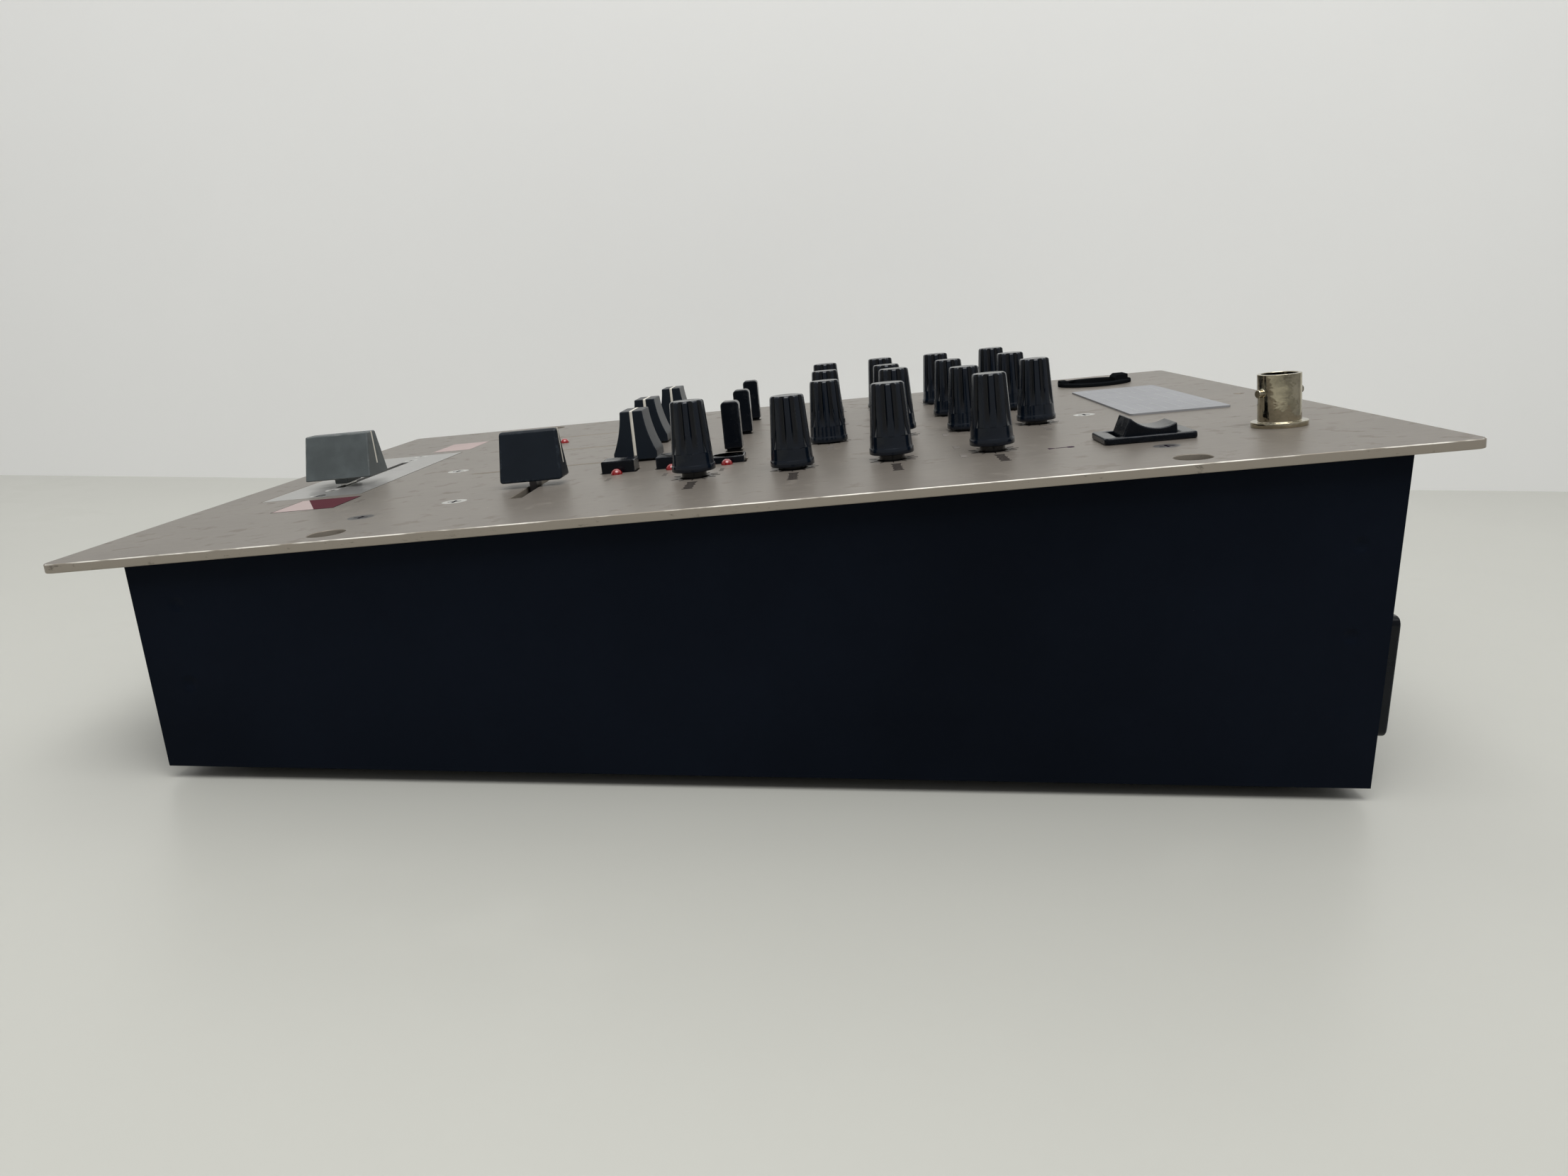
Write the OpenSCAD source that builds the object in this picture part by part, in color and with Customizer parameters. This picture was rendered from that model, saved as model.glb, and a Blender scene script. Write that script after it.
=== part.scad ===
// Sloped tabletop disc mixer: steel case, aluminium top plate, knobs, faders, switches and sockets.
// +X is the right side, -Y the front, +Z up; the origin is under the middle, on the table.

/* [Case] */
// Depth of the top plate, front edge to rear edge
plate_len = 295; // [285:1:330]
// Width of the top plate
plate_w = 235; // [225:1:260]
// Thickness of the top plate
plate_t = 2; // [1.6:0.1:3]
// Radius of the top plate's corners
plate_r = 2.5; // [1:0.5:6]
// Slope of the top plate, rising to the rear
tilt = 5.7; // [3:0.1:8]
// Height of the front panel below the top plate
front_h = 45.4; // [42:0.2:60]
// Overhang of the top plate past the front panel
front_over = 16.2; // [10:0.2:18]
// Overhang of the top plate past the rear panel
rear_over = 13; // [12:0.5:15]
// Overhang of the top plate past each side
side_over = 3.3; // [1:0.1:3.5]
// Thickness of the case's sheet steel
sheet = 1.5; // [1.4:0.1:2]
// Depth of the joining flanges of the front and rear panels
flange_l = 16; // [14:0.5:22]
// Height of the rubber feet
foot_h = 3; // [2:0.5:8]
// Radius of the rubber feet
foot_r = 7; // [5:0.5:10]
// Distance of each foot's centre from the case's edges
foot_inset = 18; // [12:1:30]

/* [Fixings] */
// Radius of a case screw's head
screw_head_r = 3; // [2.6:0.1:3.2]
// Radius of a case screw's shank
screw_r = 1.5; // [1.2:0.1:1.6]
// Distance of the case screws from the top plate's side edges
screw_inset = 28.5; // [27:0.5:29]
// Distance of the front screws and rack slots from the front edge
front_row = 58; // [50:1:65]
// Distance of the rear screws and rack slots from the rear edge
rear_row = 54.5; // [50:0.5:60]
// Length of a rack slot
slot_l = 8.8; // [8:0.1:10]
// Width of a rack slot
slot_w = 7.6; // [6.5:0.1:7.8]
// Radius of a rivet's head
rivet_head_r = 2.8; // [2.4:0.1:3.2]

/* [Knobs] */
// Radius of a knob at its foot
knob_r = 5.3; // [4.8:0.1:6.5]
// Radius of a knob at its top
knob_top_r = 4.1; // [3.9:0.1:4.6]
// Height of a knob
knob_h = 16.7; // [13:0.1:20]
// Number of grip flutes round a knob
flutes = 10; // [6:1:12]
// Radius of a potentiometer's shaft
shaft_r = 3; // [2.5:0.1:3.2]
// Distance of the master column from the right edge
master_inset = 47; // [45:0.5:48]
// First master knob from the rear edge
master_back = 161.7; // [157:0.1:163]
// Distance between the master knobs
master_pitch = 23.8; // [20:0.1:24.5]
// Distance between the channel columns
channel_pitch = 44; // [40:0.5:45]
// Middle channel column from the centre line, to the left
channel_shift = 21; // [19:0.5:22]
// First channel knob from the rear edge
knob_back = 129.2; // [125:0.1:135]
// Distance between the channel knobs
knob_pitch = 19.1; // [16:0.1:20]

/* [Faders] */
// Travel of a channel fader
channel_travel = 45; // [40:1:48]
// Middle of the channel faders, in front of the plate's middle
channel_ahead = 57.5; // [56.5:0.1:59.5]
// Travel of the crossfader
cross_travel = 45; // [40:1:46]
// Crossfader from the front edge
cross_row = 27.3; // [26:0.1:28]
// Travel of the monitor fader
monitor_travel = 35; // [30:1:36]
// Monitor fader's middle from the right edge
monitor_inset = 57.85; // [57:0.05:59]
// Monitor fader, in front of the plate's middle
monitor_ahead = 55.8; // [53.5:0.1:59.5]
// Width of the crossfader's own plate
cross_plate_w = 89.5; // [86:0.5:94]
// Depth of the crossfader's own plate
cross_plate_d = 27; // [25:0.5:28]

/* [Switches and lights] */
// Cue buttons' column from the right edge
button_inset = 71.8; // [71:0.1:73]
// First cue button, in front of the plate's middle
button_ahead = 36.5; // [35.5:0.1:38.5]
// Distance between the cue buttons
button_pitch = 14.3; // [12.5:0.1:15]
// Width of a cue button, side to side
button_w = 8.2; // [7.6:0.1:8.6]
// Depth of a cue button, front to rear
button_d = 8.6; // [7.6:0.1:9.2]
// Stroke of a cue button
button_stroke = 1.4; // [1:0.1:1.6]
// Height of a released cue button above the plate
button_up = 3.1; // [2.5:0.1:4]
// Radius of an indicator light
led_r = 1.5; // [1.3:0.1:1.6]
// Toggle switches, in front of the plate's middle
toggle_ahead = 8.2; // [5.5:0.1:10.5]
// Height of a toggle's paddle
paddle_h = 13; // [10:0.5:16]
// Power switch's middle from the rear edge
rocker_back = 55.6; // [54:0.1:57]
// Power switch's middle from the right edge
rocker_inset = 44.2; // [43:0.1:45]
// Length of the power switch's frame
rocker_l = 21; // [20.5:0.1:22]
// Width of the power switch's frame
rocker_w = 15; // [14.6:0.1:16]
// Angle between the power switch's two states
rocker_throw = 20; // [16:1:20]

/* [Sockets] */
// Lamp socket's middle from the rear edge
lamp_back = 24; // [23:0.5:26]
// Lamp socket's middle from the right edge
lamp_inset = 45.5; // [44:0.5:48]
// Outer radius of the lamp socket's barrel
lamp_r = 4.85; // [4.7:0.05:5]
// Height of the lamp socket's barrel above its flange
lamp_h = 10.9; // [10:0.1:12]
// Microphone socket's middle from the rear edge
mic_back = 33; // [32:0.5:34]
// Microphone socket's middle from the left edge
mic_inset = 33.5; // [31:0.5:36]
// Outer radius of the microphone socket's ring
mic_ring_r = 12.8; // [12.6:0.1:13.4]
// Width of the label panel
label_w = 80; // [60:1:82]
// Depth of the label panel
label_d = 27; // [20:0.5:27]
// Middle of the label panel from the centre line, to the left
label_shift = 14; // [10:0.5:14.5]
// Width of the mains inlet's flange
inlet_w = 50; // [48:0.5:52]
// Height of the mains inlet's flange
inlet_h = 27; // [25:0.5:29]
// Mains inlet's middle from the right edge
inlet_inset = 34.5; // [33.5:0.5:39.5]
// Height of the mains inlet's middle above the table
inlet_z = 25.5; // [24:0.5:27]
// Number of columns of phono sockets
phono_columns = 6; // [2:1:6]
// Distance between the columns of phono sockets
phono_pitch = 19; // [16:0.5:20]
// Headphone socket from the right edge
phones_inset = 42.5; // [27.5:1:57.5]

/* [Hidden] */
$fn = 64;
fit = 0.05;          // running fit, per side
play = 0.4;          // free gap round a moving piece, per side
seam = 0.2;          // gap round a piece let into the plate, per side
channels = 3;
knobs = 4;

// Where things stand. Plate points are [x, distance from the front edge, height over the top face].
half_w = plate_w / 2;
wall_x = half_w - side_over;
inner_x = wall_x - sheet;
screw_x = half_w - screw_inset;
flange_edge = screw_x - screw_head_r - 1.5;
slot_x = inner_x - slot_l / 2 - 0.1;
rear_slot_row = plate_len - rear_row;
front_y = -(plate_len * cos(tilt) + plate_t * sin(tilt)) / 2;
front_z = foot_h - front_over * sin(tilt) + (front_h + plate_t) * cos(tilt);
floor_z = foot_h + sheet;
board_t = 1.6;
board_top = -10.4;
board_x = flange_edge + 0.5;
mid_row = plate_len / 2;
board_inset = 52;
board_front = board_inset;
board_rear = plate_len - board_inset;
master_row = plate_len - master_back;
knob_row = plate_len - knob_back;
channel_mid = mid_row - channel_ahead;
monitor_row = mid_row - monitor_ahead;
button_row = mid_row - button_ahead;
toggle_row = mid_row - toggle_ahead;
master_x = half_w - master_inset;
monitor_x = half_w - monitor_inset;
button_x = half_w - button_inset;
rocker_x = half_w - rocker_inset;
rocker_row = plate_len - rocker_back;
lamp_x = half_w - lamp_inset;
lamp_row = plate_len - lamp_back;
mic_x = mic_inset - half_w;
mic_row = plate_len - mic_back;
spare_light_left = 45;
spare_light_ahead = 71.5;
spare_light = [-spare_light_left, mid_row - spare_light_ahead];
inlet_x = half_w - inlet_inset;
phones_x = half_w - phones_inset;
cord_hole = [-6.3, plate_len - 7.3];
cord_hole_r = 1.5;

function channel_x(c) = (2 - c) * channel_pitch - channel_shift;
function at_plate(b, n) = [
    front_y + b * cos(tilt) - n * sin(tilt),
    front_z + b * sin(tilt) + n * cos(tilt)
];
// Height of the plate's underside over a given y
function under_plate(y) = front_z - plate_t / cos(tilt) + (y - front_y) * tan(tilt);
// Point where a line square to the plate, at b, meets a level z
function at_level(b, z) = at_plate(b, (z - front_z - b * sin(tilt)) / cos(tilt));

rear_y = at_plate(plate_len - rear_over, -plate_t)[0];

// Places children in the plate's frame
module on_plate() translate([0, front_y, front_z]) rotate([tilt, 0, 0]) children();
// Extrudes a Y-Z outline from x0 to x1
module section(x0, x1, points)
    translate([x0, 0, 0]) rotate([90, 0, 90]) linear_extrude(x1 - x0) polygon(points);
// Extrudes a 2D child along X, centred: child x becomes y, child y becomes z
module along_x(length) translate([-length / 2, 0, 0]) rotate([90, 0, 90]) linear_extrude(length) children();
// Extrudes a 2D child along Y, centred: child x stays x, child y becomes z
module along_y(length) translate([0, length / 2, 0]) rotate([90, 0, 0]) linear_extrude(length) children();
// Box centred in x and y, from z0 to z1
module block(w, d, z0, z1) translate([-w / 2, -d / 2, z0]) cube([w, d, z1 - z0]);
// Upright cylinder from z0 to z1
module post(r, z0, z1) translate([0, 0, z0]) cylinder(r = r, h = z1 - z0);
// Rectangle with round corners, centred
module round_rect(w, d, r) {
    square([w - 2 * r, d], center = true);
    square([w, d - 2 * r], center = true);
    for (sx = [-1, 1], sy = [-1, 1])
        translate([sx * (w / 2 - r), sy * (d / 2 - r)]) circle(r);
}
// Trapezium with its foot at z = 0
module taper(foot, top, h) polygon([[-foot / 2, 0], [foot / 2, 0], [top / 2, h], [-top / 2, h]]);
// Block that tapers in both directions, standing on z = 0
module tapered_block(foot_x, foot_y, top_x, top_y, h) intersection() {
    along_y(foot_y) taper(foot_x, top_x, h);
    along_x(foot_x) taper(foot_y, top_y, h);
}
// Mirror pair about the Y-Z plane
module both_sides() {
    children();
    mirror([1, 0, 0]) children();
}

// ---- Fixings ----
// Countersunk screw, head flush with z = 0, cross recess in the head
module flat_screw(head_r, r, length) difference() {
    union() {
        translate([0, 0, r - head_r]) cylinder(r1 = r, r2 = head_r, h = head_r - r);
        post(r, -length, r - head_r + 0.01);
    }
    for (a = [0, 90]) rotate(a) block(head_r * 1.1, head_r * 0.24, -head_r * 0.3, 1);
}
// Hole for that screw
module flat_screw_hole(head_r, r, length) {
    translate([0, 0, r - head_r]) cylinder(r1 = r, r2 = head_r, h = head_r - r);
    translate([0, 0, -0.01]) cylinder(r = head_r, h = 1);
    post(r + fit, -length, r - head_r + 0.01);
}
module case_screw_places() for (sx = [-1, 1], b = [front_row, rear_slot_row])
    translate([sx * screw_x, b, 0]) children();
module rack_slots() for (sx = [-1, 1], b = [front_row, rear_slot_row])
    translate([sx * slot_x, b, 0]) linear_extrude(20, center = true) {
        square([slot_l - slot_w, slot_w], center = true);
        for (s = [-1, 1]) translate([s * (slot_l - slot_w) / 2, 0]) circle(slot_w / 2);
    }
// Screws that hold the circuit board's posts to the plate; the left pair of posts has none
post_x = half_w - 41;
post_mid_x = 12.6;
post_ahead = 71.5;
post_front = board_front + 5.1;
post_rear = board_rear - 4.7;
post_screw_places = [[post_x, mid_row - post_ahead], [post_mid_x, post_front], [post_mid_x, post_rear]];
blind_post_places = [[-post_x, mid_row - post_ahead], [-post_x, post_rear]];
module at_places(places) for (p = places) translate([p[0], p[1], 0]) children();

// ---- Top plate ----
cross_mid = cross_row - 0.4;
cross_screw_r = 1.1;
cross_head_r = 2.1;
cross_screw_edge = 3.25;
cross_strap_w = 9;
cross_strap_gap = 1;
cross_strap_x = cross_plate_w / 2 - cross_screw_edge;
channel_lever = [1.2, 5];      // thickness across the slot, width along it
monitor_lever = [1.8, 5];
cross_lever = [1.4, 8];
channel_slot_w = channel_lever[0] + 2 * play;
monitor_slot_w = monitor_lever[0] + 3 * play;
cross_slot_w = cross_lever[0] + 2.5 * play;
end_play = 0.5;
function slot_length(travel, lever) = travel + lever[1] + 2 * end_play;
cross_slot_len = slot_length(cross_travel, cross_lever);
// Solid end of the crossfader's body, which reaches from its slot to the strap
cross_end_block = cross_strap_x - (cross_strap_w + cross_slot_len) / 2 - cross_strap_gap;
cross_body_screw_x = (cross_slot_len + cross_end_block) / 2;
button_gap = play;
led_gap = 0.15;
toggle_neck = [2.4, 4];
toggle_slot = [5.2, toggle_neck[1] + 2 * play];
mic_body_r = mic_ring_r - 2;
mic_bore_r = mic_body_r - 1.6;
latch = [8, 4.8];              // width and depth of the release tab
latch_off = 8.8;               // its middle, from the socket's middle

module button_places() for (c = [0:channels - 1])
    translate([button_x, button_row + c * button_pitch, 0]) children();
module light_places() {
    for (c = [0:channels - 1])
        translate([button_x + button_w / 2 + led_r + 0.9, button_row + c * button_pitch, 0]) children();
    translate([spare_light[0], spare_light[1], 0]) children();
}
module pot_places() {
    for (k = [0:knobs - 1]) translate([master_x, master_row + k * master_pitch, 0]) children();
    for (c = [1:channels], k = [0:knobs - 1])
        translate([channel_x(c), knob_row + k * knob_pitch, 0]) children();
}
module at_mic() translate([mic_x, mic_row, 0]) children();
module at_latch() at_mic() translate([0, latch_off, 0]) children();
module at_lamp() translate([lamp_x, lamp_row, 0]) children();
module at_rocker() translate([rocker_x, rocker_row, 0]) children();
module fader_slot(travel, lever, width) linear_extrude(20, center = true)
    square([width, slot_length(travel, lever)], center = true);

module face_plate() color("#96908a") on_plate() difference() {
    translate([0, plate_len / 2, -plate_t]) linear_extrude(plate_t) round_rect(plate_w, plate_len, plate_r);
    rack_slots();
    translate([0, cross_mid - seam / 2, 0])
        block(cross_plate_w + 2 * seam, cross_plate_d + 3 * seam, -plate_t - 1, 1);
    case_screw_places() flat_screw_hole(screw_head_r, screw_r, 10);
    at_places(post_screw_places) flat_screw_hole(screw_head_r, screw_r, 10);
    pot_places() post(shaft_r + 0.5, -5, 1);
    for (c = [1:channels]) translate([channel_x(c), channel_mid, 0])
        fader_slot(channel_travel, channel_lever, channel_slot_w);
    translate([monitor_x, monitor_row, 0]) rotate(90)
        fader_slot(monitor_travel, monitor_lever, monitor_slot_w);
    for (c = [1:channels]) translate([channel_x(c), toggle_row, 0])
        block(toggle_slot[0], toggle_slot[1], -5, 1);
    button_places() block(button_w + 2 * button_gap, button_d + 2 * button_gap, -5, 1);
    light_places() post(led_r + led_gap, -5, 1);
    at_rocker() block(rocker_cut_w, rocker_cut_l, -5, 1);
    at_lamp() post(lamp_r + fit, -5, 1);
    at_mic() post(mic_body_r + fit, -5, 1);
    at_latch() block(latch[0] + 2 * play, latch[1] + 2 * play, -5, 1);
    translate([cord_hole[0], cord_hole[1], 0]) post(cord_hole_r, -5, 1);
}

module crossfader_plate() color("#afaeac") on_plate() translate([0, cross_mid, 0]) difference() {
    block(cross_plate_w, cross_plate_d, -plate_t, 0);
    translate([0, cross_row - cross_mid, 0]) {
        rotate(90) fader_slot(cross_travel, cross_lever, cross_slot_w);
        for (sx = [-1, 1], x = [cross_body_screw_x, cross_strap_x])
            translate([sx * x, 0, 0]) flat_screw_hole(cross_head_r, cross_screw_r, 10);
    }
}

label_t = 0.5;
module label_panel() color("#b0aeac") on_plate() translate([-label_shift, mic_row - 0.5, 0])
    linear_extrude(label_t) round_rect(label_w, label_d, 1);

// ---- Case ----
rivet_r = 1.6;
rivet_sink = 0.35;
// Rivet middles as [y, z]; two join each panel's flange to the side
front_rivets = [at_plate(front_over + 9, -11.4), at_plate(front_over + 9, -29.1)];
rear_rivets = [[rear_y - 8.1, 36.5], [rear_y - 8.1, 55.7]];
module rivet_places() both_sides() for (p = concat(front_rivets, rear_rivets))
    translate([wall_x, p[0], p[1]]) rotate([0, 90, 0]) children();
module rivet_hole() {
    translate([0, 0, rivet_r - rivet_head_r]) cylinder(r1 = rivet_r, r2 = rivet_head_r, h = rivet_head_r - rivet_r);
    post(rivet_r + fit, -3 * sheet, rivet_r - rivet_head_r + 0.01);
    post(rivet_head_r, -0.01, 1);
}

top_flange_front = front_over + sheet + 2.3;
top_flange_rear = plate_len - rear_over - sheet - 2.5;
module chassis_tray() color("#14181e") difference() {
    union() {
        section(-wall_x, wall_x, [
            at_level(front_over, foot_h), at_level(front_over, floor_z), [rear_y, floor_z], [rear_y, foot_h]
        ]);
        both_sides() section(inner_x, wall_x, [
            at_level(front_over, foot_h), at_plate(front_over, -plate_t),
            [rear_y, under_plate(rear_y)], [rear_y, foot_h]
        ]);
        both_sides() on_plate() translate([flange_edge, top_flange_front, -plate_t - sheet])
            cube([inner_x + sheet / 2 - flange_edge, top_flange_rear - top_flange_front, sheet]);
    }
    on_plate() {
        rack_slots();
        case_screw_places() post(screw_r + fit, -10, 1);
        at_mic() post(mic_ring_r + 1, -10, 1);
    }
    rivet_places() rivet_hole();
}

phones_n = -front_h / 2;
phones_bush_r = 4.5;
module at_phones() on_plate() translate([phones_x, front_over, phones_n]) rotate([90, 0, 0]) children();
flange_top = -plate_t - sheet - 1;
front_flange_low = -plate_t - front_h + 5;
module front_panel() color("#181c22") difference() {
    union() {
        section(-inner_x, inner_x, [
            at_level(front_over, floor_z), at_plate(front_over, -plate_t),
            at_plate(front_over + sheet, -plate_t), at_level(front_over + sheet, floor_z)
        ]);
        both_sides() section(inner_x - sheet, inner_x, [
            at_plate(front_over + sheet / 2, front_flange_low), at_plate(front_over + sheet / 2, flange_top),
            at_plate(front_over + sheet + flange_l, flange_top),
            at_plate(front_over + sheet + flange_l, front_flange_low)
        ]);
    }
    at_phones() post(phones_bush_r + fit, -sheet - 1, 1);
    rivet_places() rivet_hole();
}

phono_r = 4.15;
phono_hole_r = phono_r + 0.8;
phono_gap = 8.7;               // from the case's left side to the phono block
phono_rows = [18, 37];
phono_margin = 7.5;            // block below its lower row and above its upper row
phono_body = [phono_columns * phono_pitch + 2, 11, phono_rows[1] - phono_rows[0] + 2 * phono_margin];
phono_mid_x = phono_gap + phono_body[0] / 2 - inner_x;
module phono_places() for (i = [0:phono_columns - 1], z = phono_rows)
    translate([phono_mid_x + (i - (phono_columns - 1) / 2) * phono_pitch, rear_y, z])
        rotate([-90, 0, 0]) children();
inlet_body = [27, 20];
inlet_screw_x = 20;
module at_inlet() translate([inlet_x, rear_y, inlet_z]) rotate([-90, 0, 0]) children();
module rear_panel() color("#181c22") difference() {
    union() {
        section(-inner_x, inner_x, [
            [rear_y - sheet, floor_z], [rear_y, floor_z],
            [rear_y, under_plate(rear_y)], [rear_y - sheet, under_plate(rear_y - sheet)]
        ]);
        both_sides() section(inner_x - sheet, inner_x, [
            [rear_y - sheet / 2, floor_z + 3], [rear_y - sheet - flange_l, floor_z + 3],
            [rear_y - sheet - flange_l, under_plate(rear_y - sheet - flange_l) - sheet - 1],
            [rear_y - sheet / 2, under_plate(rear_y - sheet - flange_l) - sheet - 1]
        ]);
    }
    phono_places() post(phono_hole_r, -sheet - 1, 1);
    at_inlet() {
        block(inlet_body[0] + 2 * seam, inlet_body[1] + 2 * seam, -sheet - 1, 1);
        for (sx = [-1, 1]) translate([sx * inlet_screw_x, 0, 0]) post(screw_r + fit, -sheet - 1, 1);
    }
    rivet_places() rivet_hole();
}

module case_rivets() color("#10141a") rivet_places() {
    difference() {
        translate([0, 0, rivet_r - rivet_head_r])
            cylinder(r1 = rivet_r, r2 = rivet_head_r, h = rivet_head_r - rivet_r);
        post(rivet_head_r + 1, -rivet_sink, 1);
    }
    post(rivet_r, -2 * sheet - 0.5, rivet_r - rivet_head_r + 0.01);
    post(rivet_r + 1, -2 * sheet - 1.2, -2 * sheet);
}

module feet() color("#101010") for (sx = [-1, 1], y = [
    at_level(front_over, foot_h)[0] + foot_inset, rear_y - foot_inset
]) translate([sx * (wall_x - foot_inset), y, 0]) post(foot_r, 0, foot_h);

inlet_proud = 5;
module case_screws() color("#202226") {
    on_plate() case_screw_places() flat_screw(screw_head_r, screw_r, plate_t + sheet + 3);
    at_inlet() for (sx = [-1, 1]) translate([sx * inlet_screw_x, 0, inlet_proud])
        flat_screw(screw_head_r, screw_r, inlet_proud + sheet + 4);
}

post_w = 5.5;
post_hole = screw_r;
pan_r = 2.8;
pan_h = 1.8;
module silver_screws() color("#c8c8c4") on_plate() {
    at_places(post_screw_places) flat_screw(screw_head_r, screw_r, plate_t + 3);
    translate([0, cross_row, 0]) for (sx = [-1, 1], x = [cross_body_screw_x, cross_strap_x])
        translate([sx * x, 0, 0]) flat_screw(cross_head_r, cross_screw_r, plate_t + 2.5);
    at_places(concat(post_screw_places, blind_post_places)) {
        post(screw_r, board_top - board_t - 0.01, board_top + 3);
        post(pan_r, board_top - board_t - pan_h, board_top - board_t);
    }
}

// ---- Knobs and potentiometers ----
skirt_h = 4;
ring_h = 1.6;
ring_step = 0.25;
knob_round = 0.7;
flute_r = 1.1;
flute_depth = 0.4;
socket_h = 9;
shaft_foot = -8;
bush_r = shaft_r + 1.2;
bush_low = -4;
// Height of each knob's foot over the plate: master column, then each channel column
knob_seats = [
    [1.6, 0.7, 1.5, 1.5],
    [0.3, 1.8, 0.6, 1.0],
    [0.5, 0.6, 0.4, 0.7],
    [0.4, 0.5, 0.3, 0.5]
];
// Side outline of a knob, from its axis outwards: foot ring, tapered body, rounded rim
module knob_outline() {
    polygon([
        [0, 0], [knob_r, 0], [knob_r - 0.05, ring_h], [knob_r - ring_step, ring_h],
        [knob_top_r, knob_h - knob_round], [knob_top_r - knob_round, knob_h], [0, knob_h]
    ]);
    translate([knob_top_r - knob_round, knob_h - knob_round]) intersection() {
        circle(knob_round);
        square(knob_round);
    }
}
module knob(seat) {
    body_r = knob_r - ring_step;
    lean = atan((body_r - knob_top_r) / (knob_h - knob_round - ring_h));
    skirt_r = body_r - (skirt_h - ring_h) * tan(lean);
    color("#14181f") translate([0, 0, seat]) difference() {
        rotate_extrude() knob_outline();
        for (i = [0:flutes - 1]) rotate((i + 0.5) * 360 / flutes)
            translate([skirt_r + flute_r - flute_depth, 0, skirt_h]) rotate([0, -lean, 0])
                cylinder(r = flute_r, h = knob_h);
        post(shaft_r + fit / 2, -1, socket_h);
    }
    color("#222222") post(shaft_r, shaft_foot, seat + socket_h - fit / 2);
}
module pot_bodies() color("#3a4a3a") on_plate() pot_places() difference() {
    union() {
        block(9.6, 10, board_top, bush_low);
        post(bush_r, bush_low - 0.01, -plate_t);
    }
    post(shaft_r + fit, shaft_foot - fit, 0);
}
module master_knob(k) on_plate() translate([master_x, master_row + (k - 1) * master_pitch, 0])
    knob(knob_seats[0][k - 1]);
module channel_knob(c, k) on_plate() translate([channel_x(c), knob_row + (k - 1) * knob_pitch, 0])
    knob(knob_seats[c][k - 1]);

// ---- Faders ----
fader_w = 11;
fader_wall = 1;
carriage_w = fader_w - 2 * fader_wall - 2 * play;
carriage_z = [-8.6, -4.4];
// Body of a fader that runs along y, under the plate
module fader_body(travel, lever, end_block) {
    inside = slot_length(travel, lever);
    difference() {
        block(fader_w, inside + 2 * end_block, board_top, -plate_t);
        block(fader_w - 2 * fader_wall, inside, board_top + fader_wall, -plate_t - fader_wall);
        block(lever[0] + 2 * play, inside, -5, 0);
    }
}
module fader_lever(lever, top) {
    block(carriage_w, lever[1], carriage_z[0], carriage_z[1]);
    block(lever[0], lever[1], carriage_z[1] - 0.01, top);
}
module fader_bodies() color("#8c8c88") on_plate() {
    for (c = [1:channels]) translate([channel_x(c), channel_mid, 0])
        fader_body(channel_travel, channel_lever, 5);
    translate([monitor_x, monitor_row, 0]) rotate(90) fader_body(monitor_travel, monitor_lever, 3);
    translate([0, cross_row, 0]) difference() {
        rotate(90) fader_body(cross_travel, cross_lever, cross_end_block);
        for (sx = [-1, 1]) translate([sx * cross_body_screw_x, 0, 0]) post(cross_screw_r + fit, -8, 0);
    }
}

// Where each channel fader is left, below the top of its travel
channel_rest = [0, 3, 0.5];
channel_cap_z = 0.5;
channel_cap_h = 13.4;
lever_in_cap = 8;
flank_sag = 0.55;
// Side outline of a channel cap: a low lip, then a hollow flank up to the narrow top
module channel_cap_outline() {
    lip = 2;
    foot = 6;
    top = 3.1;
    chord = norm([foot - top, channel_cap_h - lip]);
    hollow_r = (chord * chord / 4 + flank_sag * flank_sag) / (2 * flank_sag);
    out = [channel_cap_h - lip, foot - top] / chord;
    mid = [(foot + top) / 2, (channel_cap_h + lip) / 2] + (hollow_r - flank_sag) * out;
    difference() {
        polygon([[-foot, 0], [foot, 0], [foot, lip], [top, channel_cap_h], [-top, channel_cap_h], [-foot, lip]]);
        for (s = [-1, 1]) translate([s * mid[0], mid[1]]) circle(hollow_r, $fn = 128);
    }
}
module at_channel_cap(c)
    translate([channel_x(c), channel_mid + channel_travel / 2 - channel_rest[c - 1], 0]) children();
module channel_fader_cap(c) color("#1a1e22") on_plate() at_channel_cap(c) difference() {
    translate([0, 0, channel_cap_z]) intersection() {
        along_x(14) channel_cap_outline();
        along_y(13) taper(13.2, 12.3, channel_cap_h);
    }
    block(channel_lever[0], channel_lever[1], -1, lever_in_cap);
}
module channel_fader_lever(c) color("#b0b0ac") on_plate() at_channel_cap(c)
    fader_lever(channel_lever, lever_in_cap);

monitor_cap_z = 1.5;
module at_monitor() translate([monitor_x, monitor_row, 0]) rotate(90) children();
module monitor_fader_cap() color("#1c2024") on_plate() at_monitor() difference() {
    translate([0, 0, monitor_cap_z]) tapered_block(15.9, 8.8, 14.7, 2.4, 12.4);
    block(monitor_lever[0], monitor_lever[1], -1, lever_in_cap);
}
module monitor_fader_lever() color("#b0b0ac") on_plate() at_monitor() fader_lever(monitor_lever, lever_in_cap);

cross_rest = 20;              // crossfader's place, right of the middle
cross_cap_z = 2.3;
cross_boss_z = 0.8;
module at_cross() translate([cross_rest, cross_row, 0]) rotate(90) children();
module crossfader_cap() color("#4a5054") on_plate() at_cross() difference() {
    union() {
        translate([0, 0, cross_cap_z]) tapered_block(18.7, 14.2, 18, 5.8, 12.2);
        block(3.8, 10, cross_boss_z, cross_cap_z + 1);
    }
    block(cross_lever[0], cross_lever[1], -1, lever_in_cap);
}
module crossfader_lever() color("#b0b0ac") on_plate() at_cross() fader_lever(cross_lever, lever_in_cap);

// ---- Switches and lights ----
cap_skirt = 3;
stem_w = 3.6;
stem_foot = -8;
well_top = -cap_skirt - button_stroke - 0.25;
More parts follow.
